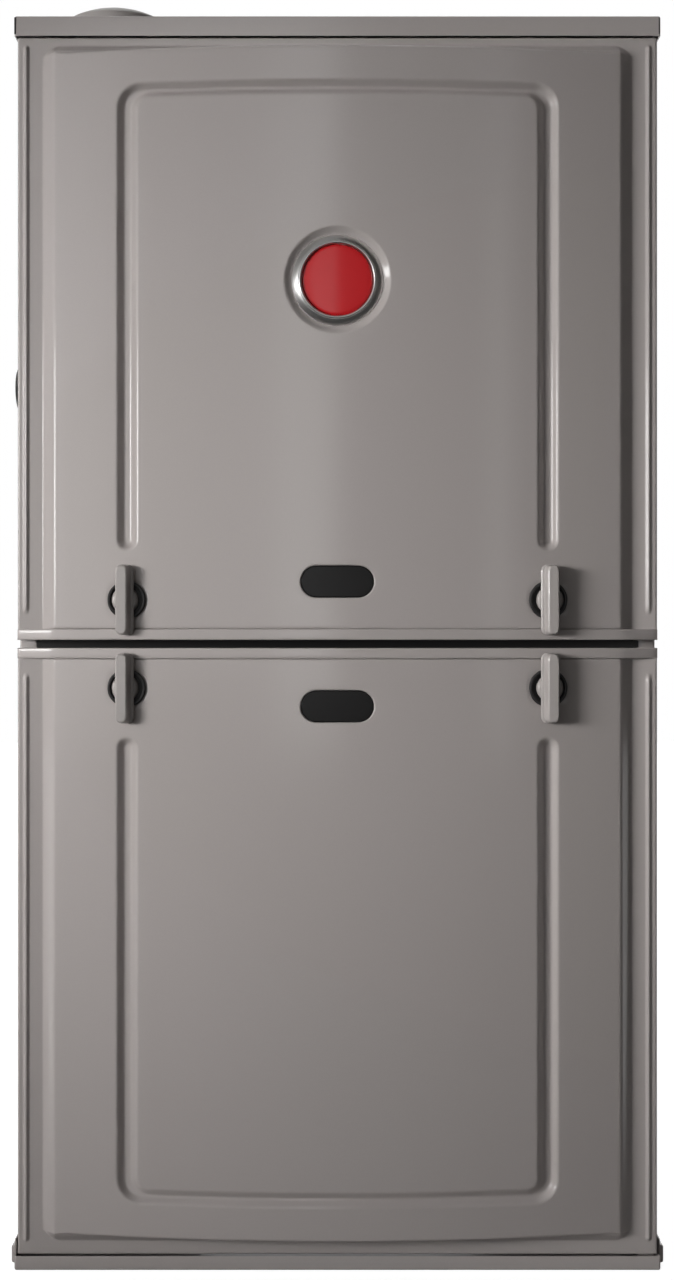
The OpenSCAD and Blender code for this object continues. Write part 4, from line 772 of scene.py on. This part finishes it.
hub = [(0, hub_front)]
hub += arc(hub_radius - hub_round, hub_front - hub_round, hub_round, 90, 0, 8)
hub += [(hub_radius, hub_back), (spindle_radius, hub_back), (spindle_radius, 0),
        (spindle_radius, -wing_back), (0, -wing_back)]


def grip_bar():
    """the bar in side view: a low ledge, 12.8 x 48 mm, and a drafted grip upon it"""
    half, length = 6.4, 24
    bm = sized_box((-half, 0, -length), (half, 0.6, length))
    round_edges(bm, lambda c, d: abs(d.y) > 0.9, radius=4.6, segments=6)
    for height, new_half, new_length in ((1.2, 6.2, 23.9), (1.5, 5.7, 23.8), (1.7, 4.6, 23.6),
                                         (2.1, 4.3, 23.5), (5.8, 3.9, 23.2), (6.6, 3.6, 22.9),
                                         (7, 3.0, 22.3)):
        front = max(bm.faces, key=lambda f: f.calc_center_median().y)
        made = bmesh.ops.extrude_face_region(bm, geom=[front])["geom"]
        for v in verts_in(made):
            v.co = (v.co.x*new_half/half, height, v.co.z*new_length/length)
        half, length = new_half, new_length
    return bm


def latch(side, level):
    """the latch of the left side (-1) or the right one (1), whose axis lies at this height"""
    bar = grip_bar()
    bmesh.ops.rotate(bar, matrix=Matrix.Rotation(math.pi, 3, "Z"), verts=bar.verts)
    for v in bar.verts:
        v.co.x += side*(latch_shift + grip_lean*max(-v.co.y - 1, 0))
    bmesh.ops.translate(bar, vec=(side*latch_x, door_front - collar_front - 0.3, level),
                        verts=bar.verts)
    neck = sized_box((-5.4, -collar_front - 0.9, -5.4), (5.4, -hub_front + 1.3, 5.4))
    wing = sized_box((-2.8, wing_front, -15), (2.8, wing_back, 15))
    round_edges(wing, lambda c, d: True, radius=0.6, segments=2)
    for bm in (neck, wing):
        bmesh.ops.translate(bm, vec=(side*latch_x, door_front, level), verts=bm.verts)
    round_part = turned(hub, (side*(latch_x + latch_shift), door_front, level), steps=64)
    return joined(round_part, neck, bar, wing)


for door, base, up in door_places:
    level = base + up*latch_v
    finish_piece(door + "_latch_collars",
                 joined(*(turned(collar, (side*latch_x, door_front, level), steps=64)
                          for side in (-1, 1))),
                 door + "_door", "black_plastic", matt_black, door + "_latch_collars", sharp=50)
    for word, side in (("left", -1), ("right", 1)):
        name = door + "_" + word + "_latch"
        finish_piece(name, latch(side, level), name, "latch_plastic", latch_paint, name, sharp=24)

# ---- Seam strip: a thin strip of black plastic along the front of the centre rail, out to the
# ---- casing's flanges. It closes the slit between the doors; its black is partly painted shade.
strip_half, strip_front, strip_back, strip_low, strip_high = 209.3, -333.2, -331.7, 429, 433.4
strip = sized_box((-strip_half, strip_front, strip_low), (strip_half, strip_back, strip_high))
finish_piece("seam_strip_and_shade", strip, "casing", "black_plastic", matt_black)

# ---- Cap seam shade: painted shade in the upright joints at both ends of the cap's front skirt,
# ---- where its sheet is folded round the corner. A thin black box in each stands for that shadow.
joint_low, joint_front, joint_back = 851, brow - 0.1, brow + 1.2
left_joint = sized_box((-222.45, joint_front, joint_low), (-221.2, joint_back, cap_low))
right_joint = sized_box((221.1, joint_front, joint_low), (222, joint_back, cap_low))
finish_piece("cap_seam_shade", joined(left_joint, right_joint), "casing", "black_plastic", matt_black)

# ---- Intake cap and side plug: a crowned plastic cap over the unused air intake, and a round
# ---- rubber plug in the casing's left side.
grey_plastic = grained("grey_plastic", (0.36, 0.335, 0.32), 0.38, scale=1000.0, bump=0.1)
rubber = grained("black_rubber", (0.03, 0.03, 0.03), 0.62, scale=700.0, bump=0.2)
crown_high, crown_drop, crown_radius = 20.5, 9.5, 35
crown = [(0, crown_high)]
crown += [(r, crown_high - crown_drop*(r/crown_radius)**2) for r in (6, 12, 18, 24, 28, 31, 32.6)]
crown += arc(32.6, 9.4, 2.4, 58, 0, 4) + [(crown_radius, 2), (34.6, 0.4), (34, 0), (30, 0)]
crown += [(29.8, -12), (27.8, -12), (27.8, 9), (0, 9)]
finish_piece("intake_cap", turned(crown, intake_place + Vector((0, 0, cap_high)), "Z", 96),
             "casing", "grey_plastic", grey_plastic, "intake_cap", sharp=50)
plug = [(0, 4.3), (5, 4.5), (11, 4.75), (13.2, 4.9), (14.4, 4.5), (15, 3.6), (15, 0), (11.9, 0),
        (11.9, -1.3), (12.9, -1.5), (12.4, -5.2), (10.4, -5.2), (10.4, 2.4), (0, 2.4)]
finish_piece("side_plug", turned(plug, (-casing_half, case_front + 24, 611), "X", 64), "casing",
             "black_rubber", rubber, "side_plug", sharp=50)

# ---- Vent: a pipe of cream plastic, open at both ends. Its collar holds it on the cap, and
# ---- below that it runs down inside the casing to the sleeve of the draft inducer.
cream = grained("cream_plastic", (0.80, 0.78, 0.72), 0.34, scale=600.0, bump=0.06)
inner, pipe_high, pipe_low = vent_radius - 3.9, 899.6, 618
pipe = [(inner + 0.8, pipe_high), (vent_radius - 0.8, pipe_high), (vent_radius, pipe_high - 0.8),
        (vent_radius, 870.4), (vent_radius + 0.6, 868.9), (vent_radius + 4.2, 868.6),
        (vent_radius + 5, 867.8), (vent_radius + 5, cap_high), (vent_radius, cap_high),
        (vent_radius, pipe_low), (inner, pipe_low), (inner, pipe_high - 0.8),
        (inner + 0.8, pipe_high)]
finish_piece("vent_pipe", turned(pipe, vent_place, "Z", 96), "casing", "cream_plastic", cream,
             "vent_pipe", sharp=50)

# ---- Finishes inside: the metals, plastics and fibres of the pieces that stay as the frame
# ---- brings them. The zinc-coated sheets show their crystals.


def spangle_group():
    """zinc crystals: flakes of different tone and shine, with fine scratches along them"""
    group, given = finish_group("zinc_spangle", [
        ("Colour", "NodeSocketColor", (0.5, 0.5, 0.5, 1)), ("Scale", "NodeSocketFloat", 90.0),
        ("Contrast", "NodeSocketFloat", 0.3), ("Roughness", "NodeSocketFloat", 0.35)])
    place = add(group, "ShaderNodeTexCoord").outputs["Object"]
    warp = add(group, "ShaderNodeTexNoise", Vector=place, Scale=60.0, Detail=2.0)
    moved = add(group, "ShaderNodeVectorMath", operation="MULTIPLY_ADD", in0=warp.outputs["Color"],
                in1=(0.006, 0.006, 0.006), in2=place)
    flakes = add(group, "ShaderNodeTexVoronoi", Vector=moved.outputs[0], Scale=given["Scale"])
    tone = add(group, "ShaderNodeSeparateColor", in0=flakes.outputs["Color"]).outputs
    shade = math_node(group, "MULTIPLY_ADD", tone[0], given["Contrast"], 0.8)
    tint = add(group, "ShaderNodeVectorMath", operation="SCALE", in0=given["Colour"], Scale=shade)
    rough = math_node(group, "MULTIPLY_ADD", tone[1], 0.16, given["Roughness"])
    fine = add(group, "ShaderNodeTexNoise", Vector=place, Scale=700.0, Detail=3.0)
    bump = add(group, "ShaderNodeBump", Strength=0.1, Distance=0.0003, Height=fine.outputs["Fac"])
    add(group, "NodeGroupOutput", Colour=tint.outputs[0], Roughness=rough,
        Normal=bump.outputs[0])
    return group


zinc = (0.62, 0.63, 0.64)
galvanised, tree, shader = new_material("galvanised", zinc, 0.35, 0.9)
fill_shader(tree, shader, spangle_group(), {"Colour": (*zinc, 1), "Scale": 85.0,
                                            "Contrast": 0.32, "Roughness": 0.3})

# name: colour, roughness, metallic, then the grain's drift, strength, scale and relief
finishes = {
    "dark_paint": ((0.055, 0.053, 0.051), 0.4, 0.2, 0.08, 0.08, 1200.0, 0.1),
    "dark_plastic": ((0.045, 0.046, 0.05), 0.45, 0.0, 0.08, 0.06, 900.0, 0.2),
    "white_plastic": ((0.74, 0.72, 0.67), 0.4, 0.0, 0.04, 0.03, 700.0, 0.1),
    "insulation": ((0.66, 0.63, 0.55), 0.85, 0.0, 0.12, 0.35, 420.0, 1.0),
    "exchanger_steel": ((0.42, 0.41, 0.39), 0.42, 0.9, 0.22, 0.08, 500.0, 0.15),
    "fin_metal": ((0.62, 0.63, 0.64), 0.33, 1.0, 0.08, 0.06, 600.0, 0.1),
    "steel": ((0.56, 0.57, 0.58), 0.3, 1.0, 0.1, 0.06, 800.0, 0.1),
    "pipe_black": ((0.06, 0.06, 0.062), 0.5, 0.3, 0.15, 0.2, 400.0, 0.3),
    "valve_alloy": ((0.52, 0.51, 0.49), 0.46, 0.8, 0.1, 0.12, 500.0, 0.35),
    "ceramic": ((0.78, 0.74, 0.66), 0.4, 0.0, 0.1, 0.05, 800.0, 0.1),
    "motor_paint": ((0.045, 0.047, 0.052), 0.32, 0.1, 0.08, 0.06, 700.0, 0.1),
    "board_green": ((0.02, 0.14, 0.06), 0.3, 0.0, 0.1, 0.1, 300.0, 0.1),
    "tube_tan": ((0.46, 0.36, 0.26), 0.5, 0.0, 0.08, 0.05, 900.0, 0.1),
    "wire_red": ((0.4, 0.05, 0.035), 0.45, 0.0, 0.1, 0.1, 500.0, 0.3),
    "knob_blue": ((0.03, 0.09, 0.33), 0.4, 0.0, 0.06, 0.05, 900.0, 0.1),
    "button_red": ((0.42, 0.03, 0.025), 0.4, 0.0, 0.06, 0.05, 900.0, 0.1),
}
made_finishes = {"galvanised": galvanised, "cabinet_paint": taupe, "black_plastic": matt_black,
                 "black_rubber": rubber, "grey_plastic": grey_plastic, "cream_plastic": cream,
                 "latch_plastic": latch_paint, "window": smoked, "chrome": chrome, "badge_red": red}
for slot, (base, rough, metal, drift, grain, scale, bump) in finishes.items():
    made_finishes[slot] = grained(slot, base, rough, metal, drift, grain, scale,
                                  rough_spread=0.08, bump=bump)
for part in frame["record"]["subparts"]:
    node = frame["nodes"][part["node"]]
    node.data.materials.clear()
    node.data.materials.append(made_finishes[part["material_slot"]])
